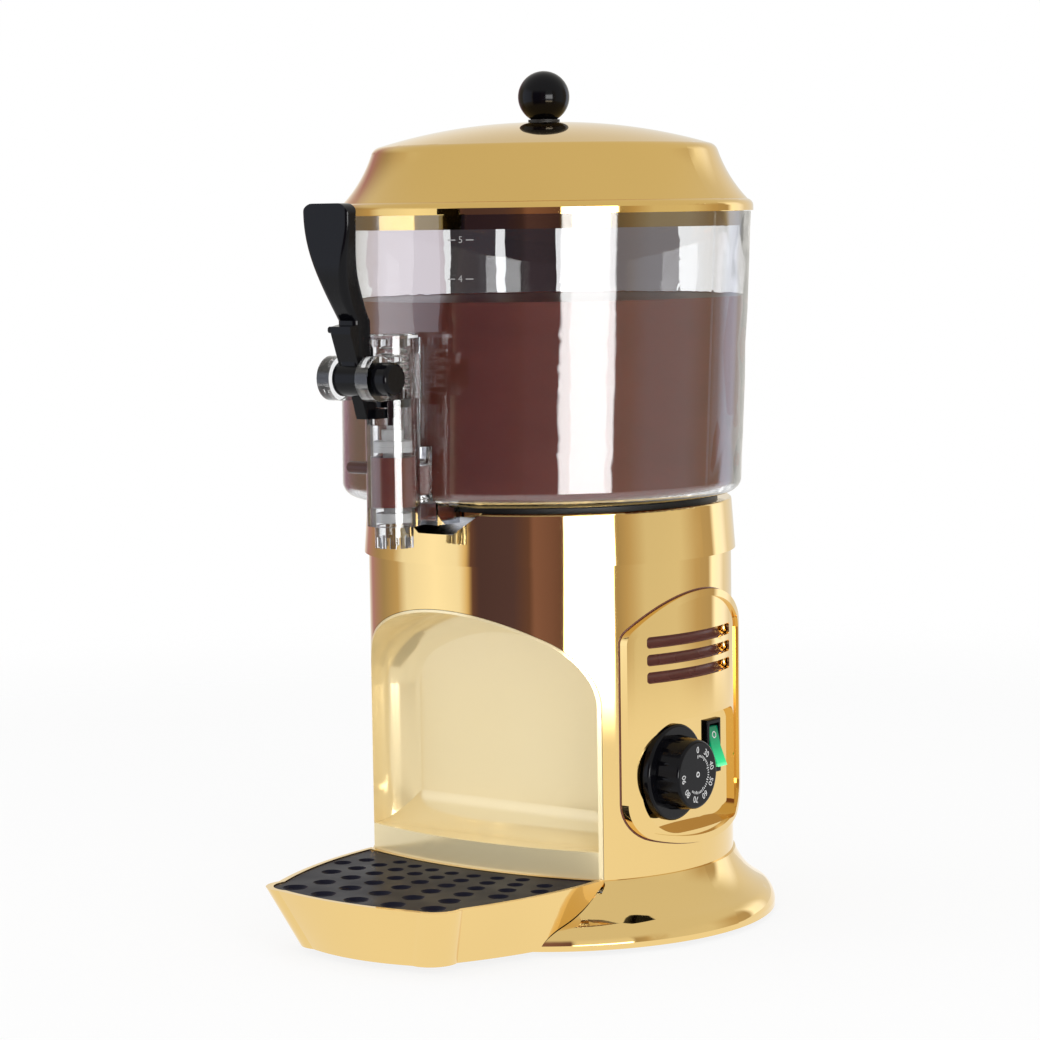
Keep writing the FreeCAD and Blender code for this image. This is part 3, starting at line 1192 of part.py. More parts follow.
def tray_grille():
    edge = GRILLE_RIM + GAP
    plate = Part.Face(tray_wire(GRILLE_LOW_Z, edge, 0)).extrude(Vector(0, 0, GRILLE_T))
    rim = Part.Face(tray_wire(GRILLE_LOW_Z, edge, 0)).OuterWire
    inside = Part.Face(rim)
    dimples = []
    for x, y, radius in grille_places():
        place = Part.Vertex(x, y, GRILLE_LOW_Z)
        if inside.distToShape(place)[0] < 0.01 and rim.distToShape(place)[0] > radius + GRILLE_RIM / 2:
            low = Vector(x, y, GRILLE_LOW_Z)
            dimples.append(Part.makeCone(radius * GRILLE_HOLE_RATIO, radius, GRILLE_T, low, Vector(0, 0, 1)))
    print("grille: %d dimples" % len(dimples))
    return plate.cut(dimples)


# Cord gland and terminals

def cord_gland():
    """A gland in the body's rear: flange outside, nut inside and a bore for the cord."""
    wall_y = math.sqrt(BODY_R ** 2 - GLAND_X ** 2)
    start = Vector(GLAND_X, wall_y - GLAND_L / 2, GLAND_Z)
    stem = rod(GLAND_R - SHEET - RUNNING, start, Vector(GLAND_X, wall_y + GLAND_L / 2, GLAND_Z))
    dome_y = wall_y + GLAND_L / 2 - 2.0
    dome = rod(GLAND_R, Vector(GLAND_X, wall_y - 2.0, GLAND_Z), Vector(GLAND_X, dome_y, GLAND_Z))
    dome = dome.makeFillet(2.0, [e for e in dome.Edges if e.BoundBox.YMin > dome_y - 0.01])
    dome = dome.cut(upright(BODY_R + 0.05, 0, BODY_TOP_Z))
    nut_start = Vector(GLAND_X, wall_y - GLAND_L / 2 + 1.0, GLAND_Z)
    nut = rod(GLAND_R + 1.0, nut_start, Vector(GLAND_X, wall_y, GLAND_Z))
    nut = nut.common(upright(BODY_R - SHEET - 0.05, 0, BODY_TOP_Z))
    bore = rod(GLAND_BORE_R, Vector(GLAND_X, 0, GLAND_Z), Vector(GLAND_X, 2 * BODY_R, GLAND_Z))
    return stem.fuse([dome, nut]).cut(bore).removeSplitter()


def terminal_block():
    x = -GLAND_X
    y = BODY_R / 2
    low_z = PLATE_LOW_Z + PLATE_T
    base = block(
        (x - TERMINAL_L / 2, y - TERMINAL_W / 2, low_z), (x + TERMINAL_L / 2, y + TERMINAL_W / 2, low_z + 5))
    ways = 3
    pitch = TERMINAL_L / ways
    towers = []
    for way in range(ways):
        left = x - TERMINAL_L / 2 + way * pitch + 1.0
        high = (left + pitch - 2.0, y + TERMINAL_W / 4, low_z + TERMINAL_H)
        towers.append(block((left, y - TERMINAL_W / 4, low_z), high))
    return base.fuse(towers).removeSplitter()


NODES = [
    base_foot, bottom_plate, foot_ring, base_screws, body_shell, niche_liner, upper_collar, side_panel,
    switch_frame, switch_rocker, thermostat_body, thermostat_spindle, thermostat_knob, mounting_deck,
    gear_motor, motor_screws, drive_shaft, water_tank, heating_element, shaft_bush, bowl_gasket, bowl,
    heat_plate, plate_seal, stirrer, tap_body, tap_cap, tap_nozzle, tap_lock_pin, tap_piston, piston_seal,
    piston_head, tap_spring, lever_pin, tap_lever, lid, lid_knob, knob_washer, knob_screw, drip_tray,
    tray_grille, cord_gland, terminal_block]

for make in NODES:
    save(make.__name__, make())
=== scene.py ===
import json
import math

import bmesh
import bpy
from mathutils import Matrix, Vector


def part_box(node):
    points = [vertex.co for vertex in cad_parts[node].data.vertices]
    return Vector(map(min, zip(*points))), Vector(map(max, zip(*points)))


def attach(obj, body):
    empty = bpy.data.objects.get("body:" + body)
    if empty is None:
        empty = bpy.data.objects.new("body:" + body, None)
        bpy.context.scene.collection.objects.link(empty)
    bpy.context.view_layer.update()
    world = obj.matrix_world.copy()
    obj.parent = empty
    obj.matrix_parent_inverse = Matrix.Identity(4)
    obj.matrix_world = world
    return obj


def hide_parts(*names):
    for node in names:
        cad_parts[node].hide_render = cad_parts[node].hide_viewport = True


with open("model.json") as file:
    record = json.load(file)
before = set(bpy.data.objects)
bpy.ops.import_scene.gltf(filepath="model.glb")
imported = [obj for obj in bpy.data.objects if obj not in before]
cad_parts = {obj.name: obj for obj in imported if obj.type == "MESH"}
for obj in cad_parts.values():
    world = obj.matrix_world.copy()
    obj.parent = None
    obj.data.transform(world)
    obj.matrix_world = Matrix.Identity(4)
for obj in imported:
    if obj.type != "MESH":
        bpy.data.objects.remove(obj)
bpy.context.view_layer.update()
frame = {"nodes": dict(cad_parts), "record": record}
NODES = frame["nodes"]

bl_info = {
    "name": "Hot chocolate dispenser",
    "version": (1, 0, 0),
    "blender": (4, 5, 0),
    "location": "3D View > Sidebar > Dispenser",
    "description": "Dresses the dispenser: plated shells, clear bowl and tap, drink, lid, tray and studio",
    "category": "Object",
}

MM = 0.001
ROUND = 192


def centre(node):
    low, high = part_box(node)
    return (low + high) / 2


def top_z(node):
    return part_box(node)[1].z


def low_z(node):
    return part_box(node)[0].z


# Settings

class FinishSettings(bpy.types.PropertyGroup):
    gold: bpy.props.FloatVectorProperty(
        name="Body gold", description="Colour of the plated foot, body, collar, panel and tray",
        subtype="COLOR", size=3, default=(0.87, 0.62, 0.25))
    lid_gold: bpy.props.FloatVectorProperty(
        name="Lid gold", description="Colour of the plated lid",
        subtype="COLOR", size=3, default=(0.80, 0.54, 0.18))
    gold_roughness: bpy.props.FloatProperty(
        name="Plating roughness", description="How far the plating is from a perfect mirror",
        default=0.035, min=0, max=1)
    drink: bpy.props.FloatVectorProperty(
        name="Drink", description="Colour of the hot chocolate",
        subtype="COLOR", size=3, default=(0.235, 0.056, 0.036))


class DrinkSettings(bpy.types.PropertyGroup):
    level: bpy.props.FloatProperty(
        name="Level", description="Height of the drink above the counter",
        unit="LENGTH", default=0.355, min=0.26, max=0.395)


class StageSettings(bpy.types.PropertyGroup):
    azimuth: bpy.props.FloatProperty(
        name="Azimuth", description="The camera's angle from the front towards the panel side",
        subtype="ANGLE", default=math.radians(37.37))
    pitch: bpy.props.FloatProperty(
        name="Pitch", description="How far the camera looks down",
        subtype="ANGLE", default=math.radians(5.51))
    roll: bpy.props.FloatProperty(
        name="Roll", description="The camera's tilt about its own axis",
        subtype="ANGLE", default=math.radians(0.84))
    distance: bpy.props.FloatProperty(
        name="Distance", description="From the camera to the bowl's axis", unit="LENGTH", default=1.8262)
    offset: bpy.props.FloatProperty(
        name="Offset", description="The camera's sideways offset from the axis",
        unit="LENGTH", default=-0.01703)
    height: bpy.props.FloatProperty(
        name="Height", description="The camera's height above the counter", unit="LENGTH", default=0.4032)
    lens: bpy.props.FloatProperty(name="Lens", description="Focal length in millimetres", default=109.94)


def finish():
    return bpy.context.scene.dispenser_finish


def drink():
    return bpy.context.scene.dispenser_drink


def stage_settings():
    return bpy.context.scene.dispenser_stage


# Materials

def new_material(name):
    material = bpy.data.materials.new(name)
    material.use_nodes = True
    tree = material.node_tree
    return material, tree, tree.nodes["Principled BSDF"]


def noise(tree, scale, detail=2.0, roughness=0.5, stretch=(1, 1, 1)):
    """Object-space noise, stretched along the axes."""
    coords = tree.nodes.new("ShaderNodeTexCoord")
    mapping = tree.nodes.new("ShaderNodeMapping")
    mapping.inputs["Scale"].default_value = stretch
    texture = tree.nodes.new("ShaderNodeTexNoise")
    texture.inputs["Scale"].default_value = scale
    texture.inputs["Detail"].default_value = detail
    texture.inputs["Roughness"].default_value = roughness
    tree.links.new(coords.outputs["Object"], mapping.inputs["Vector"])
    tree.links.new(mapping.outputs["Vector"], texture.inputs["Vector"])
    return texture


def ramp(tree, source, stops):
    """A colour ramp over source with (position, colour) stops."""
    node = tree.nodes.new("ShaderNodeValToRGB")
    elements = node.color_ramp.elements
    while len(elements) < len(stops):
        elements.new(0.5)
    for element, (position, colour) in zip(elements, stops):
        element.position = position
        element.color = (*colour, 1.0) if len(colour) == 3 else colour
    tree.links.new(source, node.inputs["Fac"])
    return node


def grey(value):
    return (value, value, value)


def bump(tree, bsdf, height, strength, distance):
    node = tree.nodes.new("ShaderNodeBump")
    node.inputs["Strength"].default_value = strength
    node.inputs["Distance"].default_value = distance
    tree.links.new(height, node.inputs["Height"])
    tree.links.new(node.outputs["Normal"], bsdf.inputs["Normal"])


def plating(name, colour, roughness, ripple):
    """Mirror plating: faint waves in the metal below it and a little tarnish in its colour."""
    material, tree, bsdf = new_material(name)
    bsdf.inputs["Metallic"].default_value = 1.0
    waves = noise(tree, 9.0, 1.0)
    bump(tree, bsdf, waves.outputs["Fac"], ripple, 0.002)
    haze = noise(tree, 40.0, 4.0)
    rough = ramp(tree, haze.outputs["Fac"], [(0.3, grey(roughness * 0.7)), (0.75, grey(roughness * 1.5))])
    tree.links.new(rough.outputs["Color"], bsdf.inputs["Roughness"])
    tone = noise(tree, 6.0, 2.0)
    dark = tuple(c * 0.93 for c in colour)
    shade = ramp(tree, tone.outputs["Fac"], [(0.35, dark), (0.7, tuple(colour))])
    tree.links.new(shade.outputs["Color"], bsdf.inputs["Base Color"])
    return material


def satin_plating(name, colour, metallic, roughness):
    """The alcove's softer plating: part mirror, part pale satin, with faint upright polishing marks."""
    material, tree, bsdf = new_material(name)
    bsdf.inputs["Metallic"].default_value = metallic
    marks = noise(tree, 120.0, 3.0, 0.6, (1, 1, 0.06))
    bump(tree, bsdf, marks.outputs["Fac"], 0.03, 0.0004)
    rough = ramp(tree, marks.outputs["Fac"], [(0.3, grey(roughness * 0.8)), (0.75, grey(roughness * 1.4))])
    tree.links.new(rough.outputs["Color"], bsdf.inputs["Roughness"])
    tone = noise(tree, 5.0, 2.0, 0.5, (1, 1, 0.5))
    dark = tuple(c * k for c, k in zip(colour, (0.96, 0.93, 0.86)))
    shade = ramp(tree, tone.outputs["Fac"], [(0.35, dark), (0.7, tuple(colour))])
    tree.links.new(shade.outputs["Color"], bsdf.inputs["Base Color"])
    return material


def plastic(name, colour, roughness, grain=0.02, scale=600.0, shine=0.5):
    """Moulded plastic with a fine grain and a slight change of gloss."""
    material, tree, bsdf = new_material(name)
    fine = noise(tree, scale, 2.0)
    bump(tree, bsdf, fine.outputs["Fac"], grain, 0.0004)
    gloss = noise(tree, 30.0, 3.0)
    dull = grey(min(1.0, roughness * 1.3))
    rough = ramp(tree, gloss.outputs["Fac"], [(0.3, grey(roughness * 0.8)), (0.8, dull)])
    tree.links.new(rough.outputs["Color"], bsdf.inputs["Roughness"])
    tone = ramp(tree, gloss.outputs["Fac"], [(0.2, tuple(c * 0.85 for c in colour)), (0.8, tuple(colour))])
    tree.links.new(tone.outputs["Color"], bsdf.inputs["Base Color"])
    bsdf.inputs["Specular IOR Level"].default_value = shine
    return material


def steel(name, colour, roughness, stretch):
    """Brushed metal, with the brush marks drawn out along one direction."""
    material, tree, bsdf = new_material(name)
    bsdf.inputs["Metallic"].default_value = 1.0
    brush = noise(tree, 260.0, 3.0, 0.6, stretch)
    rough = ramp(tree, brush.outputs["Fac"], [(0.25, grey(roughness * 0.7)), (0.75, grey(roughness * 1.4))])
    tree.links.new(rough.outputs["Color"], bsdf.inputs["Roughness"])
    tone = ramp(tree, brush.outputs["Fac"], [(0.3, tuple(c * 0.85 for c in colour)), (0.7, tuple(colour))])
    tree.links.new(tone.outputs["Color"], bsdf.inputs["Base Color"])
    bump(tree, bsdf, brush.outputs["Fac"], 0.05, 0.0003)
    return material


def polycarbonate():
    """Clear moulded plastic with faint flow marks."""
    material, tree, bsdf = new_material("clear_polycarbonate")
    bsdf.inputs["Base Color"].default_value = (0.97, 0.975, 0.98, 1.0)
    bsdf.inputs["Transmission Weight"].default_value = 1.0
    bsdf.inputs["IOR"].default_value = 1.45
    bsdf.inputs["Coat Weight"].default_value = 0.4
    bsdf.inputs["Coat IOR"].default_value = 1.7
    bsdf.inputs["Coat Roughness"].default_value = 0.01
    flow = noise(tree, 14.0, 1.0, 0.5, (1, 1, 0.3))
    bump(tree, bsdf, flow.outputs["Fac"], 0.008, 0.001)
    haze = noise(tree, 90.0, 2.0)
    rough = ramp(tree, haze.outputs["Fac"], [(0.3, grey(0.005)), (0.8, grey(0.03))])
    tree.links.new(rough.outputs["Color"], bsdf.inputs["Roughness"])
    return material


def green_lens():
    """Clear green rocker with a lamp behind it, brightest at its lower end."""
    material, tree, bsdf = new_material("green_lens")
    low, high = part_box("switch_rocker")
    coords = tree.nodes.new("ShaderNodeTexCoord")
    split = tree.nodes.new("ShaderNodeSeparateXYZ")
    tree.links.new(coords.outputs["Object"], split.inputs[0])
    rise = tree.nodes.new("ShaderNodeMapRange")
    rise.inputs["From Min"].default_value = low.z
    rise.inputs["From Max"].default_value = high.z
    tree.links.new(split.outputs["Z"], rise.inputs["Value"])
    glow = ramp(tree, rise.outputs[0], [
        (0.0, (0.20, 1.0, 0.45)), (0.10, (0.02, 0.66, 0.24)),
        (0.5, (0.0, 0.34, 0.14)), (1.0, (0.0, 0.14, 0.07))])
    tree.links.new(glow.outputs["Color"], bsdf.inputs["Base Color"])
    tree.links.new(glow.outputs["Color"], bsdf.inputs["Emission Color"])
    bsdf.inputs["Emission Strength"].default_value = 0.35
    haze = noise(tree, 300.0, 2.0)
    rough = ramp(tree, haze.outputs["Fac"], [(0.3, grey(0.08)), (0.8, grey(0.2))])
    tree.links.new(rough.outputs["Color"], bsdf.inputs["Roughness"])
    return material


def chocolate():
    """Thick drink: brown, glossy and slightly mottled."""
    material, tree, bsdf = new_material("hot_chocolate")
    swirl = noise(tree, 18.0, 4.0, 0.55, (1, 1, 2.5))
    colour = finish().drink
    tone = ramp(tree, swirl.outputs["Fac"], [(0.3, tuple(c * 0.85 for c in colour)), (0.7, tuple(colour))])
    tree.links.new(tone.outputs["Color"], bsdf.inputs["Base Color"])
    bsdf.inputs["Subsurface Weight"].default_value = 0.15
    bsdf.inputs["Subsurface Radius"].default_value = (0.004, 0.0015, 0.0008)
    bsdf.inputs["Roughness"].default_value = 0.35
    return material


_materials = {}


def material_for(slot):
    """One material per finish, made when it is first asked for."""
    makers = {
        "gold_plating": lambda: plating("gold_plating", finish().gold, finish().gold_roughness, 0.10),
        "lid_plating": lambda: plating("lid_plating", finish().lid_gold, finish().gold_roughness, 0.06),
        "satin_gold": lambda: satin_plating("satin_gold", (1.0, 0.86, 0.54), 0.26, 0.13),
        "black_plastic": lambda: plastic("black_plastic", (0.0030, 0.0030, 0.0045), 0.12, shine=0.16),
        "grille_plastic": lambda: plastic("grille_plastic", (0.012, 0.012, 0.022), 0.34, shine=0.03),
        "brown_plastic": lambda: plastic("brown_plastic", (0.075, 0.026, 0.020), 0.22, shine=0.3),
        "green_lens": green_lens,
        "white_plastic": lambda: plastic("white_plastic", (0.80, 0.80, 0.80), 0.3),
        "pale_print": lambda: plastic("pale_print", (0.42, 0.41, 0.41), 0.35),
        # Dark brown: painted shade in the louvre hollows, and the colour of the dark seam round the panel
        "louvre_shade": lambda: plastic("louvre_shade", (0.190, 0.072, 0.058), 0.3, shine=0.3),
        "grey_plastic": lambda: plastic("grey_plastic", (0.06, 0.06, 0.065), 0.5, 0.1),
        "black_rubber": lambda: plastic("black_rubber", (0.014, 0.014, 0.015), 0.55, 0.15, 900.0),
        "clear_polycarbonate": polycarbonate,
        "stainless_steel": lambda: steel("stainless_steel", (0.58, 0.57, 0.55), 0.28, (1, 1, 14)),
        "zinc_steel": lambda: steel("zinc_steel", (0.66, 0.66, 0.68), 0.18, (8, 8, 1)),
        "bronze": lambda: steel("bronze", (0.50, 0.30, 0.13), 0.3, (4, 4, 1)),
        "aluminium": lambda: steel("aluminium", (0.62, 0.62, 0.64), 0.42, (1, 1, 1)),
        "hot_chocolate": chocolate,
    }
    if slot not in _materials:
        _materials[slot] = makers[slot]()
    return _materials[slot]


# Mesh helpers

def mesh_object(name, mesh, body, slot, *nodes):
    """Links a piece, gives it its finish, and says what it rides on and stands for."""
    piece = bpy.data.objects.new(name, mesh)
    bpy.context.scene.collection.objects.link(piece)
    mesh.materials.clear()
    mesh.materials.append(material_for(slot))
    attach(piece, body)
    if nodes:
        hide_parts(*nodes)
    return piece


def smooth(mesh, angle=math.radians(32)):
    """Smooth shading, with edges sharper than the angle kept hard."""
    work = bmesh.new()
    work.from_mesh(mesh)
    for face in work.faces:
        face.smooth = True
    for edge in work.edges:
        if len(edge.link_faces) == 2:
            edge.smooth = edge.calc_face_angle(math.pi) < angle
    work.to_mesh(mesh)
    work.free()


def dress_node(node, slot, width=0.0):
    """Gives a carried-over node its finish and, where asked, slightly softened edges."""
    piece = NODES[node]
    for index in range(len(piece.material_slots)):
        piece.material_slots[index].link = "OBJECT"
        piece.material_slots[index].material = material_for(slot)
    if not piece.material_slots:
        piece.data.materials.append(material_for(slot))
    if width:
        bevel = piece.modifiers.new("softened edges", "BEVEL")
        bevel.width = width
        bevel.segments = 2
        bevel.limit_method = "ANGLE"
        bevel.angle_limit = math.radians(40)
        bevel.harden_normals = True


def upright_middle(z):
    return (0.0, 0.0)


def turned(name, profile, middle=upright_middle, closed=True):
    """A mesh turned about an upright axis from (radius, z) points in mm. middle gives the axis at a height."""
    mesh = bpy.data.meshes.new(name)
    points = []
    rings = []
    for radius, z in profile:
        x, y = middle(z)
        count = 1 if radius == 0 else ROUND
        rings.append((len(points), count))
        for step in range(count):
            angle = 2 * math.pi * step / ROUND
            points.append(((x + radius * math.sin(angle)) * MM, (y - radius * math.cos(angle)) * MM, z * MM))
    faces = []
    pairs = list(zip(rings, rings[1:])) + ([(rings[-1], rings[0])] if closed else [])
    for (a, a_count), (b, b_count) in pairs:
        for step in range(ROUND if max(a_count, b_count) > 1 else 0):
            after = (step + 1) % ROUND
            near = [a + step, a + after] if a_count > 1 else [a]
            far = [b + after, b + step] if b_count > 1 else [b]
            faces.append(near + far)
    mesh.from_pydata(points, [], faces)
    outward(mesh)
    smooth(mesh)
    return mesh


def outward(mesh):
    work = bmesh.new()
    work.from_mesh(mesh)
    bmesh.ops.recalc_face_normals(work, faces=work.faces)
    work.to_mesh(mesh)
    work.free()


def rounded_block(name, low, high, radius):
    """A block between two corners in mm, with its edges rounded."""
    mesh = bpy.data.meshes.new(name)
    work = bmesh.new()
    bmesh.ops.create_cube(work, size=1.0)
    for vert in work.verts:
        vert.co = Vector([(a + b) / 2 + c * (b - a) for a, b, c in zip(low, high, vert.co)]) * MM
    bmesh.ops.bevel(work, geom=list(work.edges), offset=radius * MM, segments=3, affect="EDGES", profile=0.5)
    work.to_mesh(mesh)
    work.free()
    smooth(mesh)
    return mesh


def swept(name, section, path, closed=True):
    """Joins copies of a section, each a list of points in mm, one after another along a path."""
    mesh = bpy.data.meshes.new(name)
    points = []
    for move in path:
        points += [tuple(c * MM for c in move(*corner)) for corner in section]
    size = len(section)
    faces = []
    for step in range(len(path) - 1):
        for corner in range(size if closed else size - 1):
            after = (corner + 1) % size
            a, b = step * size, (step + 1) * size
            faces.append([a + corner, a + after, b + after, b + corner])
    if closed:
        faces.append(list(range(size)))
        faces.append([(len(path) - 1) * size + corner for corner in range(size)])
    mesh.from_pydata(points, [], faces)
    outward(mesh)
    smooth(mesh)
    return mesh


def joined(name, meshes):
    """One mesh from several."""
    work = bmesh.new()
    for mesh in meshes:
        work.from_mesh(mesh)
        bpy.data.meshes.remove(mesh)
    whole = bpy.data.meshes.new(name)
    work.to_mesh(whole)
    work.free()
    return whole


def figure(text, size, place, turn):
    """A printed figure as a thin mesh, size mm high, at a place in mm, with turn's axes."""
    curve = bpy.data.curves.new(text, "FONT")
    curve.body = text
    curve.size = size * MM
    curve.extrude = 0.00006
    curve.align_x = "CENTER"
    curve.align_y = "CENTER"
    holder = bpy.data.objects.new(text, curve)
    mesh = bpy.data.meshes.new_from_object(holder)
    bpy.data.objects.remove(holder)
    bpy.data.curves.remove(curve)
    mesh.transform(Matrix.Translation(Vector(place) * MM) @ turn.to_4x4())
    return mesh


# Drink

# The bowl's shape and the room left round the drink, in mm
BOWL_FLOOR_Z = 244.0
BOWL_FORWARD = 7.0
BOWL_TAPER = 3.2
BOWL_WALL = 3.0
HEAT_PLATE_R = 90.0
DRINK_GAP = 0.3
DRINK_CORNER = 5.3


def bowl_middle(z):
    """The bowl leans forward, so its axis shifts with height. In mm."""
    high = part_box("bowl")[1]
    lean = (z - BOWL_FLOOR_Z) / (high.z / MM - BOWL_FLOOR_Z)
    return (0.0, -BOWL_FORWARD * (1 - lean))


def bowl_inside(z):
    """The bowl's inner radius in mm at a height."""
    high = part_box("bowl")[1]
    lean = (z - BOWL_FLOOR_Z) / (high.z / MM - BOWL_FLOOR_Z)
    top = high.x / MM
    return top - BOWL_TAPER * (1 - lean) - BOWL_WALL


def drink_skin():
    """The drink's outside as a closed skin, so that the stirrer has its room inside it."""
    level = drink().level / MM
    low = BOWL_FLOOR_Z + 3.3
    outer = [(HEAT_PLATE_R, low)]
    edge = DRINK_CORNER
    for step in range(7):
        angle = math.radians(90 * step / 6)
        reach = bowl_inside(low + edge) - DRINK_GAP - edge * (1 - math.sin(angle))
        outer.append((reach, low + edge * (1 - math.cos(angle))))
    for share in (0.3, 0.6, 0.9):
        z = low + edge + (level - low - edge) * share
        outer.append((bowl_inside(z) - DRINK_GAP, z))
    wall = bowl_inside(level) - DRINK_GAP
    outer += [(wall, level + 0.7), (wall - 0.5, level + 0.3), (wall - 1.6, level)]
    outer += [(wall - 30, level), (0, level)]
    inner = [(0, level - 1.2), (wall - 3.0, level - 1.2), (wall - 3.4, level - 6)]
    inner += [(bowl_inside(260) - 4.0, 260), (bowl_inside(260) - 8.0, low + 1.5)]
    inner += [(HEAT_PLATE_R, low + 1.2)]
    return turned("drink", outer + inner, bowl_middle)


def drink_in_tap():
    """What fills the sump, the duct and the space around the piston's stem."""
    tap_y = centre("tap_piston").y / MM
    low = low_z("tap_body") / MM

    def tap_middle(z):
        return (0.0, tap_y)

    round_stem = [(10.4, low + 10.4), (11.9, low + 10.4), (11.95, low + 24)]
    round_stem += [(11.9, low + 37.4), (10.4, low + 37.4)]
    chamber = turned("chamber", round_stem, tap_middle)
    duct = rounded_block("duct", (-6.8, tap_y + 12.4, low + 15.7), (6.8, tap_y + 26.0, low + 31.3), 1.0)
    sump = rounded_block("sump", (-10.2, -116.2, low + 0.9), (10.2, -101.3, low + 10.6), 1.2)
    return joined("tap_drink", [chamber, duct, sump])


class DISPENSER_OT_drink(bpy.types.Operator):
    """Fills the bowl, its sump and the tap with the drink"""
    bl_idname = "dispenser.drink"
    bl_label = "Drink"

    def execute(self, context):
        for name, mesh in (("drink", drink_skin()), ("tap_drink", drink_in_tap())):
            mesh_object(name, mesh, "bowl_unit", "hot_chocolate")
        return {"FINISHED"}


# Marks

def bowl_mark(name, z, degrees, figure_text):
    """A moulded line and figure on the bowl's outside, in mm."""
    x0, y0 = bowl_middle(z)
    reach = bowl_inside(z) + BOWL_WALL
    meshes = []

    def wall(u, v, w):
        angle = math.radians(degrees) + u / reach
        r = reach + (v - z) * 0.02 + w
        return (x0 + r * math.sin(angle), y0 - r * math.cos(angle), v)

    for start, end in ((-7.5, -3.2), (3.2, 7.5)):
        section = [(0, z - 0.3, -0.05), (0, z + 0.3, -0.05), (0, z + 0.3, 0.22), (0, z - 0.3, 0.22)]
        path = []
        for step in range(5):
            u = start + (end - start) * step / 4
            path.append(lambda a, b, c, u=u: wall(a + u, b, c))
        meshes.append(swept(name, section, path))
    angle = math.radians(degrees)
    along = Vector((math.cos(angle), math.sin(angle), 0))
    out = Vector((math.sin(angle), -math.cos(angle), 0))
    turn = Matrix((along, Vector((0, 0, 1)), out)).transposed()
    place = Vector((x0, y0, z)) + out * (reach + 0.12)
    meshes.append(figure(figure_text, 5.2, place, turn))
    return joined(name, meshes)


# The dial's print in mm and degrees, and the rocker's slope and its ring in mm
FIGURE_H = 5.0
FIGURE_R = 13.6
FIGURE_STEP = 38
STROKES = 29
STROKE_STEP = 7.6
ROCKER_FACE_X = 97.5
ROCKER_RISE = 2.3
ROCKER_HALF_H = 11.0
RING_UP = 6.4
RING_R = 1.7


def dial_marks():
    """White figures and strokes round the knob's face, and a small ring at its middle."""
    low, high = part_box("thermostat_knob")
    middle = (low + high) / 2 / MM
    face = high.x / MM
    turn = Matrix(((0, 1, 0), (0, 0, 1), (1, 0, 0))).transposed()
    meshes = []
    for index, text in enumerate(("0", "30", "40", "50", "60", "70", "80", "90")):
        angle = math.radians(90 - index * FIGURE_STEP)
        y = middle.y + FIGURE_R * math.cos(angle)
        z = middle.z + FIGURE_R * math.sin(angle)
        lean = Matrix.Rotation(angle - math.pi / 2, 3, "Z")
        meshes.append(figure(text, FIGURE_H, (face + 0.04, y, z), turn @ lean))
    for index in range(STROKES):
        angle = math.radians(90 - index * STROKE_STEP)
        inner, outer = (9.6, 10.9) if index % 5 else (9.0, 10.9)
        half = 0.26
        section = [(0, -half, 0), (0, half, 0), (0.1, half, 0), (0.1, -half, 0)]
        path = []
        for reach in (inner, outer):
            def move(a, b, c, reach=reach):
                y = reach * math.cos(angle) - b * math.sin(angle)
                z = reach * math.sin(angle) + b * math.cos(angle)
                return (face - 0.02 + a, middle.y + y, middle.z + z)
            path.append(move)
        meshes.append(swept("stroke", section, path))
    hub = [(1.6, -0.02), (1.6, 0.1), (0.9, 0.1), (0.9, -0.02)]
    path = []
    for step in range(25):
        angle = 2 * math.pi * step / 24
        path.append(lambda r, a, angle=angle: (
            face + a, middle.y + r * math.cos(angle), middle.z + r * math.sin(angle)))
    meshes.append(swept("hub_ring", hub, path))
    return joined("dial_marks", meshes)


def ring_mark():
    """A small printed ring on the rocker's upper half."""
    low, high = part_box("switch_rocker")
    y = (low.y + high.y) / 2 / MM
    z_middle = (low.z + high.z) / 2 / MM
    z = z_middle + RING_UP
    x = ROCKER_FACE_X - ROCKER_RISE * RING_UP / ROCKER_HALF_H
    tilt = math.atan2(ROCKER_RISE, ROCKER_HALF_H)
    points = []
    for step in range(25):
        angle = 2 * math.pi * step / 24
        points.append((RING_R * math.cos(angle), RING_R * math.sin(angle)))
    section = [(-0.3, 0.02), (0.3, 0.02), (0.3, 0.12), (-0.3, 0.12)]
    path = []
    for u, v in points:
        def move(a, b, u=u, v=v):
            du = u * (1 + a / RING_R)
            dv = v * (1 + a / RING_R)
            out = x + b * math.cos(tilt) - dv * math.sin(tilt)
            return (out, y + du, z + dv * math.cos(tilt) + b * math.sin(tilt))
        path.append(move)
    return swept("ring_mark", section, path)


class DISPENSER_OT_marks(bpy.types.Operator):
    """Adds the figures on the dial, the ring on the switch and the level marks on the bowl"""
    bl_idname = "dispenser.marks"
    bl_label = "Marks"

    def execute(self, context):
        mesh_object("dial_marks", dial_marks(), "knob", "white_plastic")
        mesh_object("switch_ring", ring_mark(), "rocker", "white_plastic")
        for name, z, text in (("level_mark_high", 389.5, "5"), ("level_mark_low", 368.5, "4")):
            mark = mesh_object(name, bowl_mark(name, z, 14.0, text), "bowl_unit", "pale_print")
        return {"FINISHED"}


# Grille

# The fan that the grille's holes are set out on, in mm and degrees
FAN_MIDDLE_Y = 32.0
FAN_REACH = 210.5
FAN_ROWS = 9
ROW_SHRINK = 0.905
HOLE_SHARE = 0.034
HOLE_STEP = 6.7


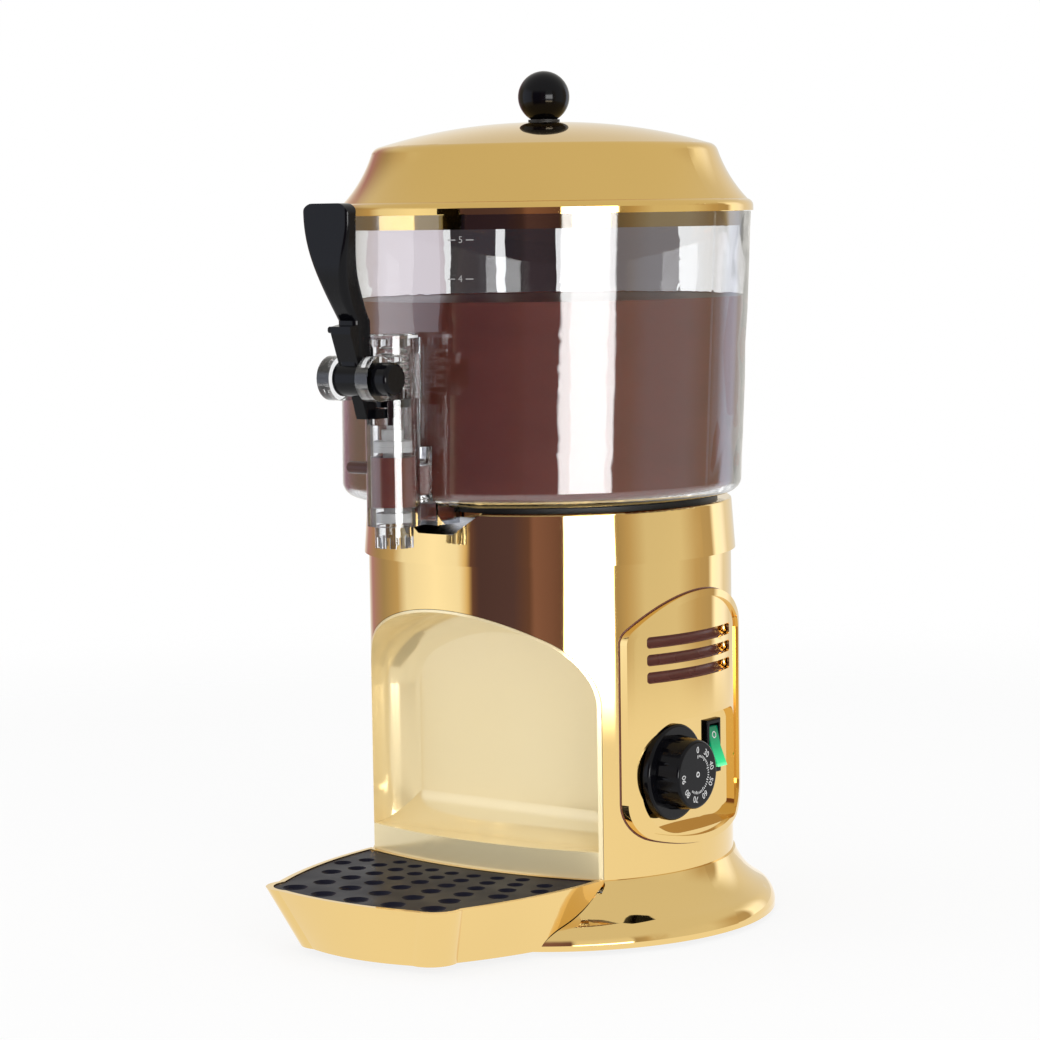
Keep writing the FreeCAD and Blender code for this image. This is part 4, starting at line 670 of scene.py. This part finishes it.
def grille_holes():
    """Middles and radii in mm of the grille's holes, found among the fan that they are set out on."""
    top = top_z("tray_grille")
    spots = {}
    for vert in NODES["tray_grille"].data.vertices:
        if vert.co.z > top - 0.0002:
            spots.setdefault((round(vert.co.x / 0.02), round(vert.co.y / 0.02)), []).append(vert.co / MM)
    for row in range(FAN_ROWS):
        reach = FAN_REACH * ROW_SHRINK ** row
        radius = reach * HOLE_SHARE
        for column in range(-8, 9):
            angle = math.radians(column * HOLE_STEP)
            x = reach * math.sin(angle)
            y = FAN_MIDDLE_Y - reach * math.cos(angle)
            near = 0
            for i in (-1, 0, 1):
                for j in (-1, 0, 1):
                    for spot in spots.get((round(x / 20) + i, round(y / 20) + j), []):
                        near += abs(math.hypot(spot.x - x, spot.y - y) - radius) < 0.1
            if near >= 6:
                yield x, y, radius


def drain_dishes():
    """A shallow dish in each hole with a small drain at its middle, and the bright pips on the dishes."""
    low = low_z("tray_grille") / MM
    dishes = []
    pips = []
    for x, y, radius in grille_holes():
        def here(z, x=x, y=y):
            return (x, y)

        floor_r = radius * 0.6
        dish = [(floor_r + 0.05, low + 0.15), (floor_r * 0.45, low - 0.55), (floor_r * 0.45, low - 0.85)]
        dish += [(floor_r + 0.05, low - 0.15)]
        dishes.append(turned("dish", dish, here))
        size = floor_r * 0.46
        pip = [(0, low - 0.95), (size, low - 0.9), (size, low - 0.5)]
        pip += [(size * 0.75, low - 0.1), (size * 0.4, low + 0.1), (0, low + 0.15)]
        pips.append(turned("pip", pip, here, closed=False))
    return joined("drain_dishes", dishes), joined("drain_pips", pips)


class DISPENSER_OT_grille(bpy.types.Operator):
    """Gives the grille's dimples their dished bottoms and bright pips"""
    bl_idname = "dispenser.grille"
    bl_label = "Grille dimples"

    def execute(self, context):
        dishes, pips = drain_dishes()
        mesh_object("drain_dishes", dishes, "grille", "grille_plastic")
        mesh_object("drain_pips", pips, "grille", "zinc_steel")
        return {"FINISHED"}


# Panel seams

PANEL_HALF = 55.7


def arc_points(middle, radius, start, end, count):
    points = []
    for step in range(count + 1):
        angle = math.radians(start + (end - start) * step / count)
        points.append((middle[0] + radius * math.cos(angle), middle[1] + radius * math.sin(angle)))
    return points


def panel_outline(inset):
    """The panel's edge as (y, z) points in mm: arched top, straight sides, bowed bottom, rounded corners."""
    half = PANEL_HALF - inset
    top_r, top_c = 81.5 - inset, 111.5
    low_r, low_c = 146.5 - inset, 197.5
    high, low = 10.0 - inset / 2, 22.0 - inset
    top_corner_z = top_c + math.sqrt((top_r - high) ** 2 - (half - high) ** 2)
    low_corner_z = low_c - math.sqrt((low_r - low) ** 2 - (half - low) ** 2)
    high_lean = math.degrees(math.atan2(top_corner_z - top_c, half - high))
    low_lean = math.degrees(math.atan2(low_c - low_corner_z, half - low))
    points = arc_points((half - high, top_corner_z), high, 0, high_lean, 6)
    points += arc_points((0, top_c), top_r, high_lean, 180 - high_lean, 32)[1:-1]
    points += arc_points((high - half, top_corner_z), high, 180 - high_lean, 180, 6)
    points += [(-half, top_corner_z + (low_corner_z - top_corner_z) * share) for share in (0.25, 0.5, 0.75)]
    points += arc_points((low - half, low_corner_z), low, 180, 180 + low_lean, 8)
    points += arc_points((0, low_c), low_r, 180 + low_lean, 360 - low_lean, 20)[1:-1]
    points += arc_points((half - low, low_corner_z), low, 360 - low_lean, 360, 8)
    points += [(half, low_corner_z + (top_corner_z - low_corner_z) * share) for share in (0.25, 0.5, 0.75)]
    return points


def seam(name, outline, face, radius):
    """A thin round line laid along an outline on the panel's side. face gives x for a y in mm."""
    path = []
    count = len(outline)
    for index in range(count + 1):
        y, z = outline[index % count]
        before = outline[index % count - 1]
        after = outline[(index + 1) % count]
        run = Vector((after[0] - before[0], after[1] - before[1])).normalized()
        x = face(y)

        def move(a, b, x=x, y=y, z=z, run=run):
            return (x + a, y - run.y * b, z + run.x * b)

        path.append(move)
    section = [(radius * math.cos(i * math.pi / 4), radius * math.sin(i * math.pi / 4)) for i in range(8)]
    return swept(name, section, path)


class DISPENSER_OT_seams(bpy.types.Operator):
    """Lays the dark seam round the panel where it meets the body"""
    bl_idname = "dispenser.seams"
    bl_label = "Panel seams"

    def execute(self, context):
        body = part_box("body_shell")[1].x / MM

        def on_body(y):
            return math.sqrt(body ** 2 - y ** 2)

        line = seam("panel_seam", panel_outline(-0.35), on_body, 0.42)
        mesh_object("panel_seam", line, "housing", "louvre_shade")
        return {"FINISHED"}


# Louvres

# In mm, but PLATED_ENDS in m: beyond these the hollow shows plating, and between them its dark brown is
# painted shade
LOUVRE_SPAN = (-42.3, 36.0)
LOUVRE_DEPTH = 5.5
LOUVRE_HALF_H = 3.6
LOUVRE_TOP_Z = 166.8
LOUVRE_PITCH = 9.8
PANEL_CURVE = 14.7
BEHIND_FACE = 3.5
PLATED_ENDS = (-0.0425, 0.0315)


def louvre_hood(name, z, back):
    """The pressed hollow behind one louvre: a trough with round ends, open to the slot. In mm."""
    slot_low, slot_high = LOUVRE_SPAN
    rows = []
    steps = 10
    for step in range(steps + 1):
        angle = math.pi * step / steps
        rows.append((-LOUVRE_DEPTH * math.sin(angle), LOUVRE_HALF_H * math.cos(angle)))
    ends = [(slot_low - 1.5, 0.25), (slot_low - 0.6, 0.7), (slot_low + 1.5, 0.95), (slot_low + 4.0, 1.0)]
    ends += [(slot_low + (slot_high - slot_low) * share, 1.0) for share in (0.25, 0.5, 0.75)]
    ends += [(slot_high - 4.0, 1.0), (slot_high - 1.5, 0.95), (slot_high + 0.6, 0.7), (slot_high + 1.5, 0.25)]
    path = []
    for y, share in ends:
        face = back(y)
        path.append(lambda a, b, y=y, share=share, face=face: (face + a * share, y, z + b))
    return swept(name, rows, path, closed=False)


class DISPENSER_OT_louvres(bpy.types.Operator):
    """Closes the panel's louvres with pressed hollows, dark brown painted shade in their middles and plated
    ends
    """
    bl_idname = "dispenser.louvres"
    bl_label = "Louvres"

    def execute(self, context):
        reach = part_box("side_panel")[1].x / MM
        radius = reach + PANEL_CURVE

        def back(y):
            return math.sqrt(radius ** 2 - y ** 2) - radius + reach - BEHIND_FACE

        for row in range(3):
            name = "louvre_%d" % (row + 1)
            mesh = louvre_hood(name, LOUVRE_TOP_Z - LOUVRE_PITCH * row, back)
            piece = mesh_object(name, mesh, "housing", "louvre_shade")
            # The hollow's middle keeps the dark brown of painted shade; faces beyond PLATED_ENDS take the
            # plating
            mesh.materials.append(material_for("gold_plating"))
            for face in mesh.polygons:
                inside = PLATED_ENDS[0] <= face.center.y <= PLATED_ENDS[1]
                face.material_index = int(not inside)
            skin = piece.modifiers.new("sheet", "SOLIDIFY")
            skin.thickness = 0.0005
            skin.offset = -1.0
        return {"FINISHED"}


# Operators

class DISPENSER_OT_nodes(bpy.types.Operator):
    """Gives every carried-over node the finish that the record names for it, but the niche liner the satin
    plating
    """
    bl_idname = "dispenser.nodes"
    bl_label = "Node finishes"

    def execute(self, context):
        for part in frame["record"]["subparts"]:
            slot = part["material_slot"]
            dress_node(part["node"], "satin_gold" if part["node"] == "niche_liner" else slot)
        return {"FINISHED"}


class DISPENSER_OT_stage(bpy.types.Operator):
    """Floor, world, lamps and camera"""
    bl_idname = "dispenser.stage"
    bl_label = "Stage"

    def execute(self, context):
        make_floor()
        make_world()
        make_flags()
        make_lamps()
        make_camera()
        return {"FINISHED"}


FLOOR_FADE_START = 0.75
FLOOR_FADE_END = 1.35
FLOOR_SIDES = 64


def make_floor():
    """A pale round floor that fades into the white room around it."""
    mesh = bpy.data.meshes.new("floor")
    reach = FLOOR_FADE_END + 0.1
    rings = 3
    points = [(0, 0, 0)]
    for ring in range(1, rings + 1):
        for step in range(FLOOR_SIDES):
            angle = 2 * math.pi * step / FLOOR_SIDES
            points.append((reach * ring / rings * math.cos(angle), reach * ring / rings * math.sin(angle), 0))
    faces = [(0, 1 + step, 1 + (step + 1) % FLOOR_SIDES) for step in range(FLOOR_SIDES)]
    for ring in range(rings - 1):
        a = 1 + FLOOR_SIDES * ring
        b = a + FLOOR_SIDES
        for step in range(FLOOR_SIDES):
            after = (step + 1) % FLOOR_SIDES
            faces.append((a + step, b + step, b + after, a + after))
    mesh.from_pydata(points, [], faces)
    floor = bpy.data.objects.new("floor", mesh)
    bpy.context.scene.collection.objects.link(floor)
    material = bpy.data.materials.new("pale_floor")
    material.use_nodes = True
    tree = material.node_tree
    tree.nodes.clear()
    out = tree.nodes.new("ShaderNodeOutputMaterial")
    mix = tree.nodes.new("ShaderNodeMixShader")
    matte = tree.nodes.new("ShaderNodeBsdfDiffuse")
    matte.inputs["Color"].default_value = (0.92, 0.92, 0.92, 1)
    glow = tree.nodes.new("ShaderNodeEmission")
    straight, mirrored = ray_kinds(tree)
    share = math_node(tree, "MAXIMUM", math_node(tree, "MULTIPLY", straight, 0.86), mirrored)
    tree.links.new(share, mix.inputs["Fac"])
    power = tree.nodes.new("ShaderNodeMapRange")
    power.inputs["To Min"].default_value = 1.0
    power.inputs["To Max"].default_value = 1.02
    tree.links.new(mirrored, power.inputs["Value"])
    tree.links.new(power.outputs[0], glow.inputs["Strength"])
    tree.links.new(matte.outputs[0], mix.inputs[1])
    tree.links.new(glow.outputs[0], mix.inputs[2])
    coords = tree.nodes.new("ShaderNodeTexCoord")
    length = tree.nodes.new("ShaderNodeVectorMath")
    length.operation = "LENGTH"
    tree.links.new(coords.outputs["Object"], length.inputs[0])
    fade = tree.nodes.new("ShaderNodeMapRange")
    fade.interpolation_type = "SMOOTHSTEP"
    fade.inputs["From Min"].default_value = FLOOR_FADE_START
    fade.inputs["From Max"].default_value = FLOOR_FADE_END
    tree.links.new(length.outputs["Value"], fade.inputs["Value"])
    clear = tree.nodes.new("ShaderNodeBsdfTransparent")
    edge = tree.nodes.new("ShaderNodeMixShader")
    tree.links.new(fade.outputs[0], edge.inputs["Fac"])
    tree.links.new(mix.outputs[0], edge.inputs[1])
    tree.links.new(clear.outputs[0], edge.inputs[2])
    tree.links.new(edge.outputs[0], out.inputs["Surface"])
    mesh.materials.append(material)


def math_node(tree, operation, first, second, clamp=False):
    """A Math node over two sources, or a source and a number."""
    node = tree.nodes.new("ShaderNodeMath")
    node.operation = operation
    node.use_clamp = clamp
    for socket, value in zip(node.inputs, (first, second)):
        if isinstance(value, (int, float)):
            socket.default_value = value
        else:
            tree.links.new(value, socket)
    return node.outputs[0]


def ray_kinds(tree):
    """Two masks: what is looked at, also through clear plastic, and what is mirrored in a surface."""
    path = tree.nodes.new("ShaderNodeLightPath")
    matte = math_node(tree, "GREATER_THAN", path.outputs["Diffuse Depth"], 0.5)
    gloss = math_node(tree, "GREATER_THAN", path.outputs["Glossy Depth"], 0.5)
    mirrored = math_node(tree, "SUBTRACT", gloss, matte, clamp=True)
    straight = math_node(tree, "MAXIMUM", path.outputs["Is Camera Ray"], path.outputs["Is Transmission Ray"])
    straight = math_node(tree, "SUBTRACT", straight, gloss, clamp=True)
    straight = math_node(tree, "SUBTRACT", straight, matte, clamp=True)
    return straight, mirrored


# What plated surfaces mirror, by degrees from the front: brightness and tint
PALE = (1.0, 1.06, 1.22)
PLAIN = (1.0, 0.98, 0.92)
WARM = (1.0, 0.82, 0.58)
RUST = (1.0, 0.56, 0.66)
PLUM = (1.0, 0.64, 1.15)
ROOM = [
    (-180, 0.90, PLAIN), (-150, 0.80, PLAIN), (-135, 0.95, PLAIN), (-118, 0.46, RUST), (-95, 0.42, WARM),
    (-76, 0.62, WARM), (-66, 1.05, PALE), (-40, 1.25, PALE), (-22, 1.12, PALE), (-16, 0.85, WARM),
    (-13, 0.16, RUST), (-8, 0.09, PLUM), (14, 0.10, PLUM), (24, 0.15, RUST), (27, 0.27, RUST),
    (38, 0.22, RUST),
    (45, 0.17, RUST), (47, 0.90, PLAIN), (76, 0.90, PLAIN), (78, 0.45, WARM), (86, 0.60, WARM),
    (98, 0.80, PLAIN),
    (125, 0.82, PLAIN), (142, 0.60, WARM), (156, 0.52, WARM), (161, 1.40, PALE), (172, 1.25, PALE),
    (180, 0.90, PLAIN)]
ROOM_SCALE = 2.0
ROOM_TOP = 0.78
# The bright strip: its span in degrees, and the heights on the unit sphere where it starts and stops
STRIP = (46.5, 76.0)
STRIP_STRENGTH = 12.0
STRIP_FOOT = (-0.20, -0.15)
STRIP_HEAD = (0.09, 0.16)
CEILING_BLEND = (0.22, 0.52)
INNER_SHARE = 0.3
PLAIN_STRENGTH = 0.62


def turn_share(degrees):
    return (degrees + 180.0) / 360.0


def make_world():
    """White where it is looked at, plain for soft light, and a room with dark stretches where mirrored."""
    world = bpy.data.worlds.new("studio")
    bpy.context.scene.world = world
    world.use_nodes = True
    tree = world.node_tree
    tree.nodes.clear()
    links = tree.links
    out = tree.nodes.new("ShaderNodeOutputWorld")
    coords = tree.nodes.new("ShaderNodeTexCoord")
    split = tree.nodes.new("ShaderNodeSeparateXYZ")
    links.new(coords.outputs["Generated"], split.inputs[0])
    flip = math_node(tree, "MULTIPLY", split.outputs["Y"], -1.0)
    turn = tree.nodes.new("ShaderNodeMath")
    turn.operation = "ARCTAN2"
    links.new(split.outputs["X"], turn.inputs[0])
    links.new(flip, turn.inputs[1])
    share = tree.nodes.new("ShaderNodeMapRange")
    share.inputs["From Min"].default_value = -math.pi
    share.inputs["From Max"].default_value = math.pi
    links.new(turn.outputs[0], share.inputs["Value"])
    stops = [(turn_share(a), tuple(v * c / ROOM_SCALE for c in tint)) for a, v, tint in ROOM]
    walls = ramp(tree, share.outputs[0], stops)
    rise = tree.nodes.new("ShaderNodeMapRange")
    rise.interpolation_type = "SMOOTHSTEP"
    rise.inputs["From Min"].default_value = CEILING_BLEND[0]
    rise.inputs["From Max"].default_value = CEILING_BLEND[1]
    links.new(split.outputs["Z"], rise.inputs["Value"])
    blend = tree.nodes.new("ShaderNodeMix")
    blend.data_type = "RGBA"
    links.new(rise.outputs[0], blend.inputs[0])
    links.new(walls.outputs["Color"], blend.inputs[6])
    blend.inputs[7].default_value = tuple(ROOM_TOP * c / ROOM_SCALE for c in PLAIN) + (1,)
    room = tree.nodes.new("ShaderNodeBackground")
    links.new(blend.outputs[2], room.inputs["Color"])
    strip = ramp(tree, share.outputs[0], [
        (turn_share(STRIP[0] - 1), grey(0)), (turn_share(STRIP[0]), grey(1)), (turn_share(STRIP[1]), grey(1)),
        (turn_share(STRIP[1] + 1), grey(0))])
    lowered = tree.nodes.new("ShaderNodeMapRange")
    lowered.inputs["From Min"].default_value = STRIP_HEAD[0]
    lowered.inputs["From Max"].default_value = STRIP_HEAD[1]
    lowered.inputs["To Min"].default_value = STRIP_STRENGTH
    lowered.inputs["To Max"].default_value = 0.0
    links.new(split.outputs["Z"], lowered.inputs["Value"])
    softbox = tree.nodes.new("ShaderNodeBackground")
    links.new(strip.outputs["Color"], softbox.inputs["Color"])
    path = tree.nodes.new("ShaderNodeLightPath")
    inner = math_node(tree, "GREATER_THAN", path.outputs["Transmission Depth"], 0.5)
    outer = math_node(tree, "SUBTRACT", 1.0, inner)
    raised = tree.nodes.new("ShaderNodeMapRange")
    raised.inputs["From Min"].default_value = STRIP_FOOT[0]
    raised.inputs["From Max"].default_value = STRIP_FOOT[1]
    links.new(split.outputs["Z"], raised.inputs["Value"])
    held = math_node(tree, "MULTIPLY", lowered.outputs[0], raised.outputs[0])
    links.new(math_node(tree, "MULTIPLY", held, outer), softbox.inputs["Strength"])
    dim = tree.nodes.new("ShaderNodeMapRange")
    dim.inputs["To Min"].default_value = ROOM_SCALE
    dim.inputs["To Max"].default_value = ROOM_SCALE * INNER_SHARE
    links.new(inner, dim.inputs["Value"])
    links.new(dim.outputs[0], room.inputs["Strength"])
    mirrored = tree.nodes.new("ShaderNodeAddShader")
    links.new(room.outputs[0], mirrored.inputs[0])
    links.new(softbox.outputs[0], mirrored.inputs[1])
    plain = tree.nodes.new("ShaderNodeBackground")
    plain.inputs["Strength"].default_value = PLAIN_STRENGTH
    plain.inputs["Color"].default_value = (1, 1, 1, 1)
    white = tree.nodes.new("ShaderNodeBackground")
    white.inputs["Color"].default_value = (1, 1, 1, 1)
    seen, reflected = ray_kinds(tree)
    first = tree.nodes.new("ShaderNodeMixShader")
    links.new(reflected, first.inputs["Fac"])
    links.new(plain.outputs[0], first.inputs[1])
    links.new(mirrored.outputs[0], first.inputs[2])
    last = tree.nodes.new("ShaderNodeMixShader")
    links.new(seen, last.inputs["Fac"])
    links.new(first.outputs[0], last.inputs[1])
    links.new(white.outputs[0], last.inputs[2])
    links.new(last.outputs[0], out.inputs["Surface"])


# Dark and pale flags behind the machine, which only show through the clear bowl: from, to, shade and bend
FLAGS = [
    (-0.1250, -0.0653, 0.72, 0.0), (-0.0610, -0.0310, 0.045, 0.0), (-0.0248, 0.0087, 0.020, 0.0),
    (0.0390, 0.0925, 0.150, 0.002)]
FLAG_DISTANCE = 0.22


def make_flags():
    s = stage_settings()
    right = Vector((math.cos(s.azimuth), math.sin(s.azimuth), 0))
    away = Vector((-math.sin(s.azimuth), math.cos(s.azimuth), 0))
    for index, (start, end, shade, bend) in enumerate(FLAGS):
        mesh = bpy.data.meshes.new("flag_%d" % index)
        points = []
        for step in range(13):
            z = 0.20 + 0.40 * step / 12
            shift = bend * math.sin(9 * z)
            for edge in (start, end):
                place = right * (edge + shift) + away * FLAG_DISTANCE
                points.append((place.x, place.y, z))
        faces = [(2 * i, 2 * i + 1, 2 * i + 3, 2 * i + 2) for i in range(12)]
        mesh.from_pydata(points, [], faces)
        flag = bpy.data.objects.new(mesh.name, mesh)
        bpy.context.scene.collection.objects.link(flag)
        material = bpy.data.materials.new("flag_%d" % index)
        material.use_nodes = True
        tree = material.node_tree
        tree.nodes.clear()
        out = tree.nodes.new("ShaderNodeOutputMaterial")
        path = tree.nodes.new("ShaderNodeLightPath")
        clear = tree.nodes.new("ShaderNodeBsdfTransparent")
        tone = tree.nodes.new("ShaderNodeEmission")
        tone.inputs["Color"].default_value = (shade, shade * 0.88, shade * 0.93, 1)
        mix = tree.nodes.new("ShaderNodeMixShader")
        tree.links.new(path.outputs["Is Transmission Ray"], mix.inputs["Fac"])
        tree.links.new(clear.outputs[0], mix.inputs[1])
        tree.links.new(tone.outputs[0], mix.inputs[2])
        tree.links.new(mix.outputs[0], out.inputs["Surface"])
        mesh.materials.append(material)


def area_lamp(name, place, size, power, colour=(1, 1, 1)):
    """A rectangular lamp aimed at the middle of the object."""
    lamp = bpy.data.lights.new(name, "AREA")
    lamp.shape = "RECTANGLE"
    lamp.size, lamp.size_y = size
    lamp.energy = power
    lamp.color = colour
    holder = bpy.data.objects.new(name, lamp)
    bpy.context.scene.collection.objects.link(holder)
    holder.location = place
    aim = Vector((0, 0, 0.25)) - Vector(place)
    holder.rotation_euler = aim.to_track_quat("-Z", "Y").to_euler()
    holder.visible_glossy = False
    return holder


def around(degrees, distance, height):
    """A place at an angle from the front towards the panel side."""
    angle = math.radians(degrees)
    return (distance * math.sin(angle), -distance * math.cos(angle), height)


def make_lamps():
    area_lamp("key", around(62, 1.9, 0.75), (0.75, 1.7), 12)
    area_lamp("fill", around(-55, 2.2, 0.9), (1.2, 1.6), 9)
    area_lamp("top", (0.1, -0.2, 2.2), (1.6, 1.6), 12)


def make_camera():
    s = stage_settings()
    camera = bpy.data.cameras.new("camera")
    camera.lens = s.lens
    camera.sensor_width = 36.0
    camera.clip_start = 0.05
    holder = bpy.data.objects.new("camera", camera)
    bpy.context.scene.collection.objects.link(holder)
    a, p, r = s.azimuth, s.pitch, s.roll
    right = Vector((math.cos(a), math.sin(a), 0))
    ahead = Vector((-math.sin(a) * math.cos(p), math.cos(a) * math.cos(p), -math.sin(p)))
    up = right.cross(ahead)
    rolled_right = right * math.cos(r) - up * math.sin(r)
    rolled_up = right * math.sin(r) + up * math.cos(r)
    place = right * s.offset + Vector((math.sin(a), -math.cos(a), 0)) * s.distance
    place.z = s.height
    turn = Matrix((rolled_right, rolled_up, -ahead)).transposed().to_4x4()
    holder.matrix_world = Matrix.Translation(place) @ turn
    bpy.context.scene.camera = holder


OPERATORS = [
    DISPENSER_OT_nodes, DISPENSER_OT_drink, DISPENSER_OT_marks, DISPENSER_OT_grille,
    DISPENSER_OT_seams, DISPENSER_OT_louvres, DISPENSER_OT_stage]


class DISPENSER_PT_pieces(bpy.types.Panel):
    """Lists the steps that dress the dispenser"""
    bl_label = "Dispenser"
    bl_idname = "DISPENSER_PT_pieces"
    bl_space_type = "VIEW_3D"
    bl_region_type = "UI"
    bl_category = "Dispenser"

    def draw(self, context):
        for operator in OPERATORS:
            self.layout.operator(operator.bl_idname)
        for settings in (finish(), drink(), stage_settings()):
            for name in settings.bl_rna.properties.keys():
                if name not in ("rna_type", "name"):
                    self.layout.prop(settings, name)


SETTINGS = {
    "dispenser_finish": FinishSettings, "dispenser_drink": DrinkSettings, "dispenser_stage": StageSettings}


def register():
    for cls in [*SETTINGS.values(), *OPERATORS, DISPENSER_PT_pieces]:
        bpy.utils.register_class(cls)
    for name, group in SETTINGS.items():
        setattr(bpy.types.Scene, name, bpy.props.PointerProperty(type=group))


def unregister():
    for name in SETTINGS:
        delattr(bpy.types.Scene, name)
    for cls in reversed([*SETTINGS.values(), *OPERATORS, DISPENSER_PT_pieces]):
        bpy.utils.unregister_class(cls)


def main():
    register()
    bpy.context.scene.view_settings.view_transform = "Standard"
    for operator in OPERATORS:
        group, name = operator.bl_idname.split(".")
        getattr(getattr(bpy.ops, group), name)()


if __name__ == "__main__":
    main()
